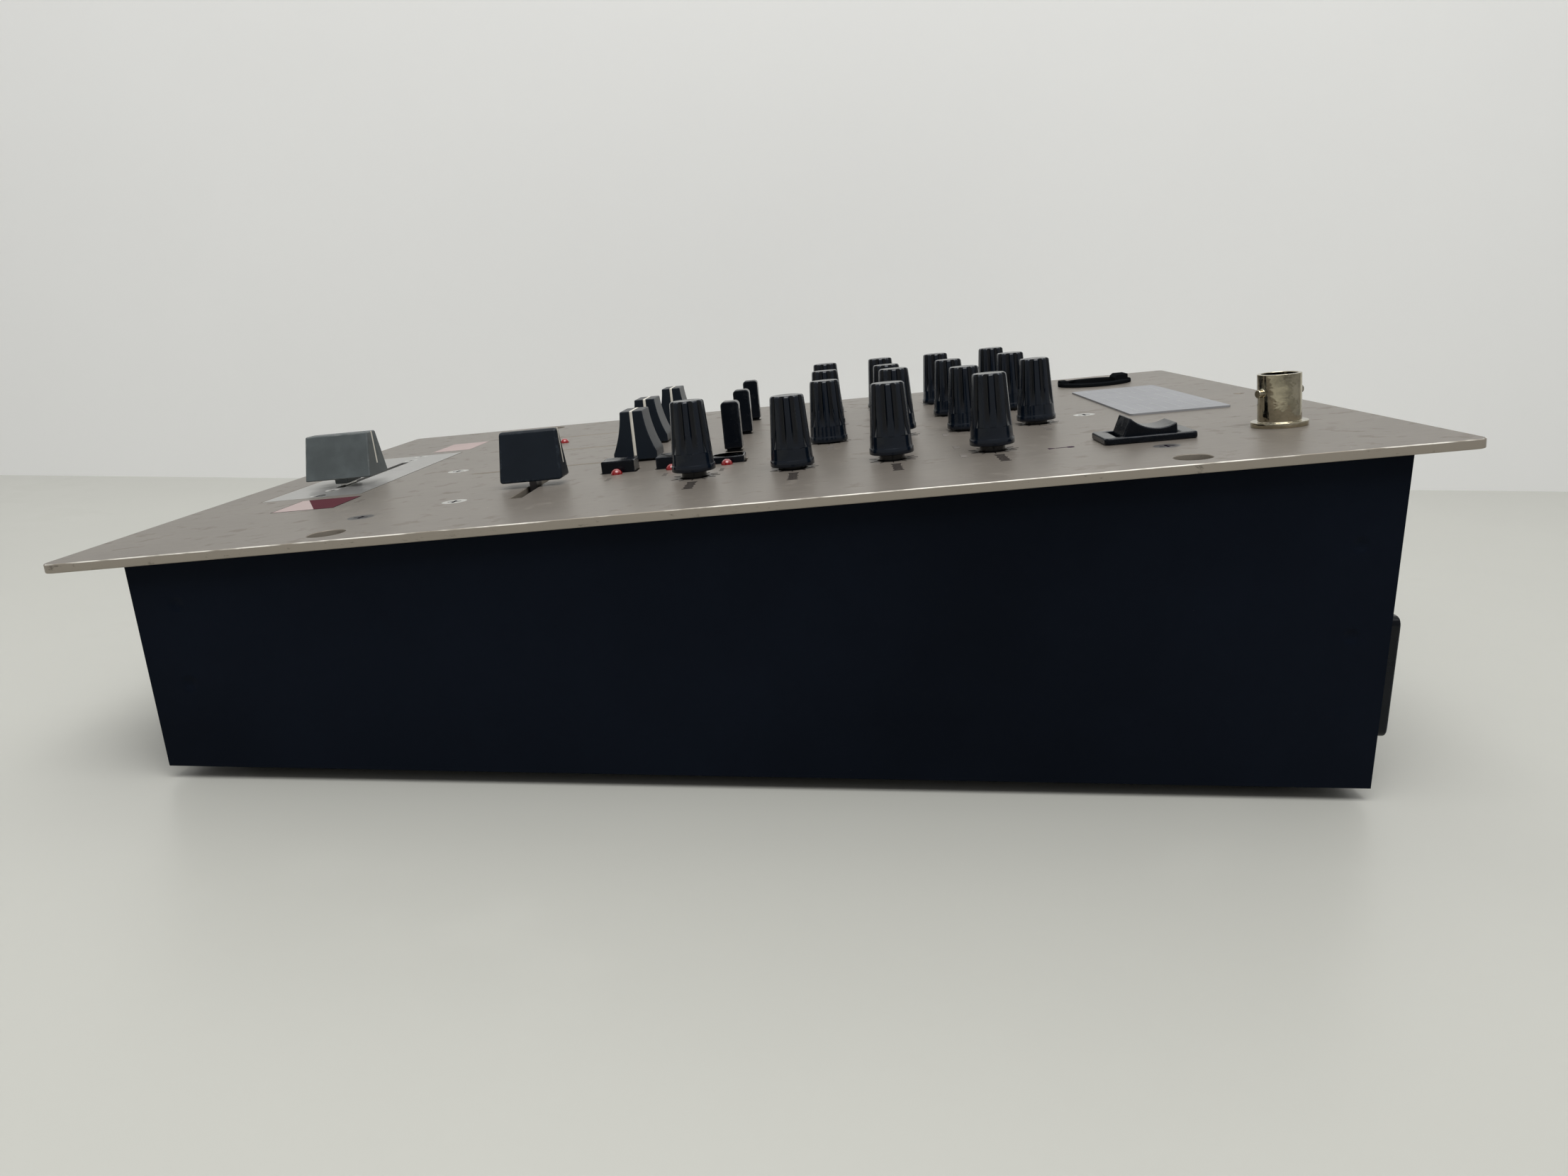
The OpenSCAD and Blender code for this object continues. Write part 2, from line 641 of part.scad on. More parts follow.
// How far each button is pressed: the third is latched down
button_press = [0, 0, button_stroke];
module cue_button(c) color("#1a1d22") on_plate()
    translate([button_x, button_row + (c - 1) * button_pitch, -button_press[c - 1]]) {
        dish = 0.35;
        dish_r = (16 + dish * dish) / (2 * dish);
        difference() {
            block(button_w, button_d, -cap_skirt, button_up);
            translate([0, 0, button_up + dish_r - dish]) sphere(dish_r, $fn = 96);
        }
        block(stem_w, stem_w, stem_foot, -cap_skirt + 0.01);
    }
module button_bodies() color("#2a2a2a") on_plate() button_places() difference() {
    block(button_w - 0.4, button_d, board_top, well_top);
    block(stem_w + 2 * play, stem_w + 2 * play, board_top + 0.6, well_top + 1);
}

led_dome = 0.4;
module leds() color("#c8141e") on_plate() light_places() {
    post(led_r + 0.4, board_top, board_top + 1);
    post(led_r, board_top + 0.99, led_dome);
    intersection() {
        translate([0, 0, led_dome]) sphere(led_r);
        post(led_r + 1, led_dome - 0.01, led_dome + led_r + 1);
    }
}

toggle_pivot = -5;
hub_r = 2.2;
toggle_pin_r = 0.8;
paddle = [5.5, 5];
paddle_low = 0.8;
module paddle_outline() {
    corner = 1.2;
    translate([-paddle[1] / 2, 0]) square([paddle[1], paddle_h - corner]);
    translate([-paddle[1] / 2 + corner, 0]) square([paddle[1] - 2 * corner, paddle_h]);
    for (s = [-1, 1]) translate([s * (paddle[1] / 2 - corner), paddle_h - corner]) circle(corner);
}
module toggle(c) color("#15181c") on_plate() translate([channel_x(c), toggle_row, 0]) {
    translate([0, 0, paddle_low]) along_x(paddle[0]) paddle_outline();
    block(toggle_neck[0], toggle_neck[1], toggle_pivot, paddle_low + 0.01);
    block(1.6, 3, toggle_pivot - 3, toggle_pivot);
    translate([0, 0, toggle_pivot]) {
        along_y(toggle_neck[1]) circle(hub_r);
        along_y(toggle_neck[1] + 2.8) circle(toggle_pin_r);
    }
}
module toggle_bodies() color("#5a5a58") on_plate() for (c = [1:channels])
    translate([channel_x(c), toggle_row, 0]) difference() {
        block(9, toggle_slot[1] + 3.6, board_top, -plate_t);
        block(7, toggle_slot[1], board_top + 1, 0);
        translate([0, 0, toggle_pivot]) along_y(toggle_neck[1] + 3) circle(toggle_pin_r + fit);
    }

rocker_frame_h = 1.6;
rocker_border = 3.3;
rocker_side = 1.9;
rocker_open_l = rocker_l - 2 * rocker_border;
rocker_open_w = rocker_w - 2 * rocker_side;
rocker_cut_w = rocker_w - 2.6;
rocker_cut_l = rocker_l - 2.6;
rocker_pivot = -1.5;
rocker_pin_r = 1.2;
rocker_depth = 16;
module rocker_housing() color("#15171a") on_plate() at_rocker() difference() {
    union() {
        linear_extrude(rocker_frame_h) round_rect(rocker_w, rocker_l, 1.2);
        block(rocker_cut_w - 2 * fit, rocker_cut_l - 2 * fit, -rocker_depth, 0.01);
    }
    block(rocker_open_w, rocker_open_l, -rocker_depth + 2, rocker_frame_h + 1);
    translate([0, 0, rocker_pivot]) along_x(rocker_open_w + 1.2) circle(rocker_pin_r + fit);
}
// Button of the power switch, level: two high ends and a hollow top between them
module rocker_outline() {
    half = rocker_open_l / 2 - 1.81;
    rise = 6.3;
    sag = 1.8;
    hollow_r = (half * half + sag * sag) / (2 * sag);
    difference() {
        polygon([[-half, rise], [-half - 0.95, 2], [-half, -3], [half, -3], [half + 0.95, 2], [half, rise]]);
        translate([0, rise - sag + hollow_r]) circle(hollow_r, $fn = 96);
    }
}
module rocker() color("#17191d") on_plate() at_rocker() translate([0, 0, rocker_pivot])
    rotate([-rocker_throw / 2, 0, 0]) {
        along_x(rocker_open_w - 2 * play) rocker_outline();
        along_x(rocker_open_w + 1) circle(rocker_pin_r);
    }

// ---- Sockets on the top plate ----
lamp_bore_r = lamp_r - 0.8;
lamp_flange_r = lamp_r + 1.5;
lamp_flange_t = 1.2;
lamp_floor = -8;
lug_rise = 6.7;
lug_z = lamp_flange_t + lug_rise;
module lamp_socket_shell() color("#8a8672") on_plate() at_lamp() difference() {
    union() {
        post(lamp_flange_r, 0, lamp_flange_t);
        post(lamp_r, lamp_flange_t - 0.01, lamp_flange_t + lamp_h);
        post(lamp_r, -12, 0.01);
        translate([0, 0, -plate_t - 2.4]) cylinder(r = lamp_flange_r + 1.4, h = 2.4, $fn = 6);
        translate([0, 0, lug_z]) rotate(20) along_y(2 * lamp_r + 2.6) circle(0.95);
    }
    post(lamp_bore_r, lamp_floor, 20);
}
lamp_core_top = lamp_flange_t + lamp_h - 5.6;
module lamp_socket_core() color("#d8d4c8") on_plate() at_lamp() difference() {
    post(lamp_bore_r - fit, lamp_floor, lamp_core_top);
    post(1.1, lamp_floor + 3, lamp_core_top + 1);
}

mic_ring_t = 1.2;
mic_low = -20;
mic_floor = -16;
mic_core_top = -9;
module mic_socket_shell() color("#1e2024") on_plate() difference() {
    at_mic() union() {
        post(mic_ring_r, 0, mic_ring_t);
        post(mic_body_r, mic_low, 0.01);
        translate([0, -11, 0]) block(7, 2.6, 0, 2.1);
    }
    at_mic() post(mic_bore_r, mic_floor, 5);
    at_latch() block(latch[0] + 2 * play, latch[1] + 2 * play, -9, 5);
}
module mic_socket_core() color("#2a2c30") on_plate() at_mic() difference() {
    post(mic_bore_r - fit, mic_floor, mic_core_top);
    for (a = [90, 210, 330]) rotate(a) translate([5, 0, 0]) post(1.3, mic_floor + 2, 0);
}
module mic_latch() color("#3c4046") on_plate() at_latch() difference() {
    block(latch[0], latch[1], -6, 3);
    translate([0, -latch[1] / 2 - 0.4, 3]) rotate([45, 0, 0]) block(latch[0] + 1, 2, -1, 1);
}

// ---- Sockets on the rear and front panels ----
inlet_mouth = [24, 16];
inlet_depth = 17;
pin_depth = 11.5;
module mains_inlet() color("#0e1012") at_inlet() {
    difference() {
        union() {
            linear_extrude(inlet_proud) round_rect(inlet_w, inlet_h, 2);
            block(inlet_body[0], inlet_body[1], -sheet - 18, 0.01);
        }
        block(inlet_mouth[0], inlet_mouth[1], inlet_proud - inlet_depth, inlet_proud + 1);
        for (sx = [-1, 1]) translate([sx * inlet_screw_x, 0, inlet_proud])
            flat_screw_hole(screw_head_r, screw_r, inlet_proud + 1);
    }
    for (p = [[-7, -2], [0, 2], [7, -2]]) translate([p[0], p[1], 0])
        block(2, 4, inlet_proud - inlet_depth, inlet_proud - inlet_depth + pin_depth);
}

phono_flange_t = 1.5;
phono_h = 9;
module phono_jacks() color("#b8b4a4") {
    translate([phono_mid_x, rear_y - sheet - phono_body[1] / 2, phono_rows[0] - phono_margin])
        block(phono_body[0], phono_body[1], 0, phono_body[2]);
    phono_places() difference() {
        union() {
            post(phono_r + 0.6, -sheet, phono_flange_t);
            post(phono_r, 0, phono_h);
        }
        post(1.6, 1, phono_h + 1);
    }
}

phones_bore_r = 3.2;
phones_len = 22;
module headphone_jack() color("#2a2c30") at_phones() difference() {
    union() {
        translate([0, 0, -sheet - phones_len]) linear_extrude(phones_len) square([15, 14], center = true);
        post(phones_bush_r, -sheet - 0.01, 3);
        cylinder(r = phones_bush_r + 1.8, h = 2, $fn = 6);
    }
    post(phones_bore_r, -sheet - phones_len + 2, 4);
}

// ---- Inside ----
board_notch = [rocker_x - rocker_w / 2 - 3, rocker_row - rocker_l / 2 - 2];
module main_board() color("#3c6a3a") on_plate() difference() {
    translate([0, 0, board_top - board_t]) linear_extrude(board_t) polygon([
        [-board_x, board_front], [board_x, board_front], [board_x, board_notch[1]],
        [board_notch[0], board_notch[1]], [board_notch[0], board_rear], [-board_x, board_rear]
    ]);
    at_places(concat(post_screw_places, blind_post_places)) post(screw_r + fit, -20, 0);
}

strap_len = 9;
strap_t = 1.5;
strap_gap = 0.5;
module inner_brackets() color("#a8a8a4") on_plate() {
    at_places(concat(post_screw_places, blind_post_places)) difference() {
        translate([0, 0, board_top])
            cylinder(r = post_w / cos(30) / 2, h = -plate_t - board_top, $fn = 6);
        post(post_hole + fit, board_top - 1, 0);
    }
    for (sx = [-1, 1]) translate([sx * cross_strap_x, 0, 0]) difference() {
        translate([-cross_strap_w / 2, front_over + sheet + strap_gap, -plate_t - strap_t])
            cube([cross_strap_w, cross_mid + cross_plate_d / 2 + strap_len - front_over - sheet, strap_t]);
        translate([0, cross_row, 0]) post(cross_screw_r + fit, -10, 0);
    }
}

core_size = [38, 12, 32];
bobbin = [27, 30, 22];
transformer_ahead = 48;
transformer_left = 18;
transformer_y = rear_y - transformer_ahead;
transformer_x = inlet_x - transformer_left;
module transformer() {
    color("#6a6a6c") translate([transformer_x, transformer_y, floor_z]) difference() {
        block(core_size[0], core_size[1], 0, core_size[2]);
        block(bobbin[0], bobbin[1], 6, core_size[2] - 6);
    }
    color("#c8a040") translate([transformer_x, transformer_y, floor_z])
        block(bobbin[0], bobbin[1], 6, core_size[2] - 6);
}

// ---- Assembly ----
face_plate();
crossfader_plate();
label_panel();
chassis_tray();
front_panel();
rear_panel();
case_rivets();
feet();
case_screws();
silver_screws();
pot_bodies();
fader_bodies();
button_bodies();
leds();
toggle_bodies();
rocker_housing();
lamp_socket_shell();
lamp_socket_core();
mic_socket_shell();
mic_socket_core();
mains_inlet();
phono_jacks();
headphone_jack();
main_board();
inner_brackets();
transformer();
for (k = [1:knobs]) master_knob(k);
for (c = [1:channels], k = [1:knobs])
    channel_knob(c, k);
for (c = [1:channels]) {
    channel_fader_cap(c);
    channel_fader_lever(c);
    toggle(c);
    cue_button(c);
}
monitor_fader_cap();
monitor_fader_lever();
crossfader_cap();
crossfader_lever();
rocker();
mic_latch();
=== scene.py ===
"""Dresses a sloped tabletop disc mixer: finishes, knobs, caps, printed marks, floor, lamps and camera.

Everything is in metres in the mixer's own frame: +X is its right side, -Y its front and +Z is up. Sizes of
pieces are written in millimetres and turned into metres where a mesh is placed.
"""

import logging
import math
from dataclasses import dataclass
from enum import Enum
from functools import partialmethod
from typing import Any, Callable, Iterable, Sequence

import bmesh
import bpy
from mathutils import Matrix, Vector


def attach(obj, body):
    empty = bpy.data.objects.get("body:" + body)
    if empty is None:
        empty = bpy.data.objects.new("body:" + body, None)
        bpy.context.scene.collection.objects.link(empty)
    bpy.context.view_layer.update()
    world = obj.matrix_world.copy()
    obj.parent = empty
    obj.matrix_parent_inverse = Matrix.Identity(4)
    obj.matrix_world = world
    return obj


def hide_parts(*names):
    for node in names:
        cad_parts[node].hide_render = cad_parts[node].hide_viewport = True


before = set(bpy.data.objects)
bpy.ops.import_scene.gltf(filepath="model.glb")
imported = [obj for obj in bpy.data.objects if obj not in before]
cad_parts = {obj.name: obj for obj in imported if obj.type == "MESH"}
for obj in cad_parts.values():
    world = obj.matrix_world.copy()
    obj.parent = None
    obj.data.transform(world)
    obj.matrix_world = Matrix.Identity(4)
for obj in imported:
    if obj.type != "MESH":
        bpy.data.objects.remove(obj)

LOG = logging.getLogger("disc_mixer")
MM = 0.001
SEED = 7
Colour = tuple[float, float, float]
Point = tuple[float, float]
Spot = tuple[float, float, float]
Given = dict[str, Any]
Tree = bpy.types.NodeTree
Socket = bpy.types.NodeSocket


# ---- Colours, places and small helpers ----
def paint(red: int, green: int, blue: int) -> Colour:
    """Turns a colour as a screen shows it into the linear colour that a shader takes.

    Args:
        red: Red, from 0 to 255.
        green: Green, from 0 to 255.
        blue: Blue, from 0 to 255.

    Returns:
        The linear colour, from 0 to 1.
    """

    def linear(level: int) -> float:
        """One channel, from screen level to light level."""
        share = level / 255
        return share / 12.92 if share <= 0.04045 else ((share + 0.055) / 1.055) ** 2.4

    return linear(red), linear(green), linear(blue)


@dataclass(frozen=True)
class Slope:
    """The sloped top plate to stand things on: x across, b back from its front edge, n above it."""

    length: float = 295.0
    width: float = 235.0
    thickness: float = 2.0
    angle: float = math.radians(5.7)
    foot: float = 3.0
    front_over: float = 16.2
    front_height: float = 45.4

    def place(self, x: float = 0.0, b: float = 0.0, n: float = 0.0, turn: float = 0.0) -> Matrix:
        """Gives the matrix that stands a shape drawn in millimetres on the plate.

        Args:
            x: Distance to the right of the centre line.
            b: Distance back from the plate's front edge.
            n: Height over the plate's top face.
            turn: Turn about the plate's own upright, in degrees.

        Returns:
            A matrix from the shape's millimetres to the mixer's metres.
        """
        sine, cosine = math.sin(self.angle), math.cos(self.angle)
        y = -(self.length * cosine + self.thickness * sine) / 2
        z = self.foot - self.front_over * sine + (self.front_height + self.thickness) * cosine
        origin = Matrix.Translation((0, y * MM, z * MM)) @ Matrix.Rotation(self.angle, 4, "X")
        spot = Matrix.Translation((x, b, n)) @ Matrix.Rotation(math.radians(turn), 4, "Z")
        return origin @ Matrix.Scale(MM, 4) @ spot


PLATE = Slope()
CHANNEL_X = (23.0, -21.0, -65.0)


class Body(Enum):
    """The bodies whose names stand alone; numbered ones are made with numbered()."""

    CASE = "case"
    MONITOR = "monitor_fader"
    CROSS = "crossfader"
    ROCKER = "rocker"
    LATCH = "mic_latch"


def numbered(stem: str, *endings: int | str) -> str:
    """Joins a stem and its numbers or words into the name of a body, a node or a piece."""
    return "_".join([stem, *map(str, endings)])


def new_object(name: str, data: bpy.types.ID) -> bpy.types.Object:
    """Links data into the scene as an object at the origin.

    Args:
        name: The object's name.
        data: A mesh, a light or a camera.

    Returns:
        The object.
    """
    made = bpy.data.objects.new(name, data)
    bpy.context.scene.collection.objects.link(made)
    return made


def settle(
    piece: bpy.types.Object, body: str, slot: str, nodes: Sequence[str] = (), finish: "Finish | None" = None
) -> None:
    """Hangs a piece on its body, puts on a finish if one is given and hides the solids that it stands for.

    Args:
        piece: The piece, with its place in its mesh.
        body: The body that it moves with.
        slot: Not used; the name of a finish slot.
        nodes: Solids that it stands for.
        finish: The finish to put on, if it has none yet.
    """
    if finish:
        piece.data.materials.append(finish.material())
    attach(piece, body)
    if nodes:
        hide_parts(*nodes)
    LOG.info("%s rides on %s: %d faces", piece.name, body, len(piece.data.polygons))


# ---- Node trees ----
class Wiring:
    """Adds nodes to one tree, sets their inputs and joins them up."""

    def __init__(self, tree: Tree) -> None:
        """Starts on a tree."""
        self.tree = tree

    def feed(self, socket: Socket, value: Any) -> None:
        """Joins an input to another node's output, or gives it a plain value.

        Args:
            socket: The input.
            value: The output, number, colour or vector that it gets.
        """
        if isinstance(value, Socket):
            self.tree.links.new(value, socket)
        elif isinstance(value, tuple) and socket.type == "RGBA":
            socket.default_value = (*value[:3], 1.0)
        else:
            socket.default_value = value

    def add(self, kind: str, inputs: dict[Any, Any] | None = None, **settings: Any) -> bpy.types.Node:
        """Adds one node.

        Args:
            kind: Blender's own name for the node.
            inputs: Values or sockets for its inputs, by name or number.
            **settings: Values of the node's own properties.

        Returns:
            The node.
        """
        node = self.tree.nodes.new(kind)
        for name, value in settings.items():
            setattr(node, name, value)
        for key, value in (inputs or {}).items():
            self.feed(node.inputs[key], value)
        return node

    def out(self, kind: str, inputs: dict[Any, Any] | None = None, **settings: Any) -> Socket:
        """Adds one node and gives its first output."""
        return self.add(kind, inputs, **settings).outputs[0]

    def sum(self, operation: str, *values: Any) -> Socket:
        """Does one sum on numbers."""
        return self.out("ShaderNodeMath", dict(enumerate(values)), operation=operation)

    plus = partialmethod(sum, "ADD")
    minus = partialmethod(sum, "SUBTRACT")
    times = partialmethod(sum, "MULTIPLY")
    over = partialmethod(sum, "DIVIDE")
    above = partialmethod(sum, "GREATER_THAN")

    def mix(self, first: Any, second: Any, share: float) -> Socket:
        """Adds a share of the first number to the rest of the second."""
        return self.plus(self.times(first, share), self.times(second, 1.0 - share))

    def spot(self, x: Any = 0.0, y: Any = 0.0, z: Any = 0.0) -> Socket:
        """Joins three numbers into a vector."""
        return self.out("ShaderNodeCombineXYZ", {0: x, 1: y, 2: z})

    def stretch(self, place: Any, shares: Spot) -> Socket:
        """Multiplies a vector's three numbers, each by its own share."""
        return self.out("ShaderNodeVectorMath", {0: place, 1: shares}, operation="MULTIPLY")

    def ramp(
        self, value: Any, low: Any, high: Any, to_low: float = 0.0, to_high: float = 1.0,
        kind: str = "SMOOTHSTEP",
    ) -> Socket:
        """Turns a range of values into another range.

        Args:
            value: The number to turn.
            low: The value that gives to_low, and so does anything below it.
            high: The value that gives to_high, and so does anything above it.
            to_low: What the low value gives.
            to_high: What the high value gives.
            kind: Blender's name for the curve between the two.

        Returns:
            The number within the new range.
        """
        inputs = {"Value": value, "From Min": low, "From Max": high, "To Min": to_low, "To Max": to_high}
        return self.out("ShaderNodeMapRange", inputs, interpolation_type=kind)

    def blend(self, share: Any, first: Any, second: Any) -> Socket:
        """Mixes two colours by a share."""
        inputs = {"Factor": share, 6: first, 7: second}
        return self.add("ShaderNodeMix", inputs, data_type="RGBA", clamp_factor=True).outputs[2]

    def noise(self, place: Any, scale: Any, detail: float = 3.0, rough: float = 0.55) -> Socket:
        """Gives soft noise between 0 and 1."""
        inputs = {"Vector": place, "Scale": scale, "Detail": detail, "Roughness": rough}
        return self.add("ShaderNodeTexNoise", inputs).outputs["Fac"]

    def marked(self, name: str) -> Socket:
        """Reads a number that a mesh carries under a name."""
        return self.add("ShaderNodeAttribute", attribute_name=name).outputs["Fac"]

    def mark(self, shape: Any, name: str, value: Any) -> Socket:
        """Stores a number on every point of a mesh under a name."""
        inputs = {"Geometry": shape, "Name": name, "Value": value}
        kind = "GeometryNodeStoreNamedAttribute"
        return self.out(kind, inputs, data_type="FLOAT", domain="POINT")

    def chance(self, seed: Any) -> Socket:
        """Gives a number between 0 and 1 that differs from point to point."""
        return self.add("FunctionNodeRandomValue", {"Seed": seed}, data_type="FLOAT").outputs[1]

    def join(self, *shapes: Any) -> Socket:
        """Joins shapes into one."""
        both = self.add("GeometryNodeJoinGeometry")
        for shape in shapes:
            self.feed(both.inputs[0], shape)
        return both.outputs[0]

    def smooth(self, shape: Any) -> Socket:
        """Shades every face of a shape smooth."""
        inputs = {"Geometry": shape, "Shade Smooth": True}
        return self.out("GeometryNodeSetShadeSmooth", inputs, domain="FACE")

    def shift(self, shape: Any, **how: Any) -> Socket:
        """Moves or turns a shape."""
        return self.out("GeometryNodeTransform", {"Geometry": shape, **how})

    def box(self, x: Any, y: Any, z: Any) -> Socket:
        """Makes a box of three sizes."""
        return self.out("GeometryNodeMeshCube", {"Size": self.spot(x, y, z)})

    def post(self, corners: int, radius: Any, depth: Any) -> Socket:
        """Makes a round post about the origin."""
        inputs = {"Vertices": corners, "Radius": radius, "Depth": depth}
        return self.out("GeometryNodeMeshCylinder", inputs)

    def row(self, count: Any, place: Any) -> Socket:
        """Makes a number of points, each at its own place."""
        line = self.out("GeometryNodeMeshLine", {"Count": count})
        return self.out("GeometryNodeSetPosition", {"Geometry": line, "Position": place})

    def stand(self, points: Any, shape: Any, **how: Any) -> Socket:
        """Stands a shape on each of a set of points."""
        inputs = {"Points": points, "Instance": shape, **how}
        return self.out("GeometryNodeInstanceOnPoints", inputs)


def declare(tree: Tree, inputs: Given) -> None:
    """Gives a tree its named inputs, each of its resting value's type.

    Args:
        tree: The tree.
        inputs: Each input's resting value; None stands for a place, which has none.
    """
    kinds = {int: "NodeSocketInt", float: "NodeSocketFloat"}
    for label, value in inputs.items():
        kind = kinds.get(type(value), "NodeSocketVector")
        socket = tree.interface.new_socket(label, in_out="INPUT", socket_type=kind)
        if value is not None:
            socket.default_value = value


Build = Callable[[Wiring, Given], Any]
Maker = Callable[[], Tree]


def made_once(fill: Callable[[str, Given, Build], Tree]) -> Callable[[Given], Callable[[Build], Maker]]:
    """Turns a function that fills a new tree into a decorator that gives the tree, made the first time.

    Args:
        fill: Takes the tree's name, its inputs' resting values and the function that wires it.

    Returns:
        A decorator that takes the inputs' resting values. It goes on a function that bears the tree's name,
        and that takes the tree's wiring and its inputs by name.
    """

    def decorator(inputs: Given) -> Callable[[Build], Maker]:
        """Keeps the resting values for the function that it goes on."""

        def wrap(build: Build) -> Maker:
            """Looks for the tree by the function's name, and has it made if there is none."""
            name = build.__name__
            return lambda: bpy.data.node_groups.get(name) or fill(name, inputs, build)

        return wrap

    return decorator


@made_once
def shared_effect(name: str, inputs: Given, build: Build) -> Tree:
    """Makes one shader node group.

    Args:
        name: The group's name.
        inputs: Each input's resting value.
        build: Returns the number that feeds each output, by name.

    Returns:
        The group.
    """
    tree = bpy.data.node_groups.new(name, "ShaderNodeTree")
    declare(tree, inputs)
    wiring = Wiring(tree)
    entry = wiring.add("NodeGroupInput")
    made = build(wiring, {label: entry.outputs[label] for label in inputs})
    for label in made:
        tree.interface.new_socket(label, in_out="OUTPUT", socket_type="NodeSocketFloat")
    wiring.add("NodeGroupOutput", made)
    return tree


@shared_effect({"Place": None, "Lines": 1500.0})
def brushed_lines(wiring: Wiring, given: Given) -> Given:
    """Wires the fine straight lines that brushing leaves in metal, a fine and a coarse layer along Y."""
    place, scale = given["Place"], given["Lines"]
    lines = wiring.noise(wiring.stretch(place, (1.0, 0.16, 0.0)), scale, detail=3.0, rough=0.7)
    bands = wiring.noise(wiring.stretch(place, (0.22, 0.05, 0.0)), scale, detail=2.0, rough=0.5)
    both = wiring.mix(lines, bands, 0.65)
    return {"Height": both, "Streak": wiring.ramp(both, 0.3, 0.7)}


@shared_effect({"Place": None, "Cells": 150.0, "Size": 0.1, "Rarity": 6.0})
def dust_specks(wiring: Wiring, given: Given) -> Given:
    """Wires sparse pale specks of dust and grit: a dot of its own size from each cell of a cell pattern."""
    inputs = {"Vector": given["Place"], "Scale": given["Cells"], "Randomness": 1.0}
    cells = wiring.add("ShaderNodeTexVoronoi", inputs).outputs
    parts = wiring.add("ShaderNodeSeparateColor", {0: cells["Color"]}).outputs
    size = wiring.times(wiring.sum("POWER", parts[0], given["Rarity"]), given["Size"])
    dots = wiring.ramp(cells["Distance"], wiring.times(size, 0.5), size, 1.0, 0.0, "LINEAR")
    return {"Mask": wiring.times(dots, wiring.ramp(parts[1], 0.0, 1.0, 0.3, 1.0))}


@shared_effect({"Place": None, "Scale": 20.0})
def soft_clouds(wiring: Wiring, given: Given) -> Given:
    """Wires slow drifts of tone, and smaller smudges and finger marks."""
    slow = wiring.noise(given["Place"], given["Scale"], detail=3.0, rough=0.5)
    small = wiring.noise(given["Place"], wiring.times(given["Scale"], 5.3), detail=4.0, rough=0.6)
    drift = wiring.ramp(wiring.mix(slow, small, 0.7), 0.32, 0.68)
    return {"Drift": drift, "Smudge": wiring.ramp(small, 0.52, 0.75)}


@shared_effect({"Edge": 0.0, "Place": None, "Scale": 300.0, "Amount": 0.5})
def worn_edges(wiring: Wiring, given: Given) -> Given:
    """Wires a softened edge, lightened unevenly as wear and a painted highlight, its mask broken up with
    noise.
    """
    broken = wiring.noise(given["Place"], given["Scale"], detail=4.0, rough=0.65)
    high = wiring.minus(1.0, wiring.times(given["Amount"], 0.75))
    patchy = wiring.ramp(broken, wiring.minus(high, 0.3), high)
    return {"Mask": wiring.times(patchy, given["Edge"])}


@shared_effect({"Place": None, "Scale": 2500.0})
def moulded_skin(wiring: Wiring, given: Given) -> Given:
    """Wires the fine pebbled skin of moulded plastic and sprayed paint over a slower ripple."""
    pebble = wiring.noise(given["Place"], given["Scale"], detail=2.0, rough=0.5)
    ripple = wiring.noise(given["Place"], wiring.times(given["Scale"], 0.12), detail=2.0, rough=0.5)
    return {"Height": wiring.mix(pebble, ripple, 0.6)}


def group(wiring: Wiring, tree: Tree, **values: Any) -> dict[str, Socket]:
    """Places a shared effect in a material.

    Args:
        wiring: The material's wiring.
        tree: The shared effect.
        **values: The values of its inputs.

    Returns:
        Its outputs, by name.
    """
    node = wiring.add("ShaderNodeGroup", values, node_tree=tree)
    return {socket.name: socket for socket in node.outputs}


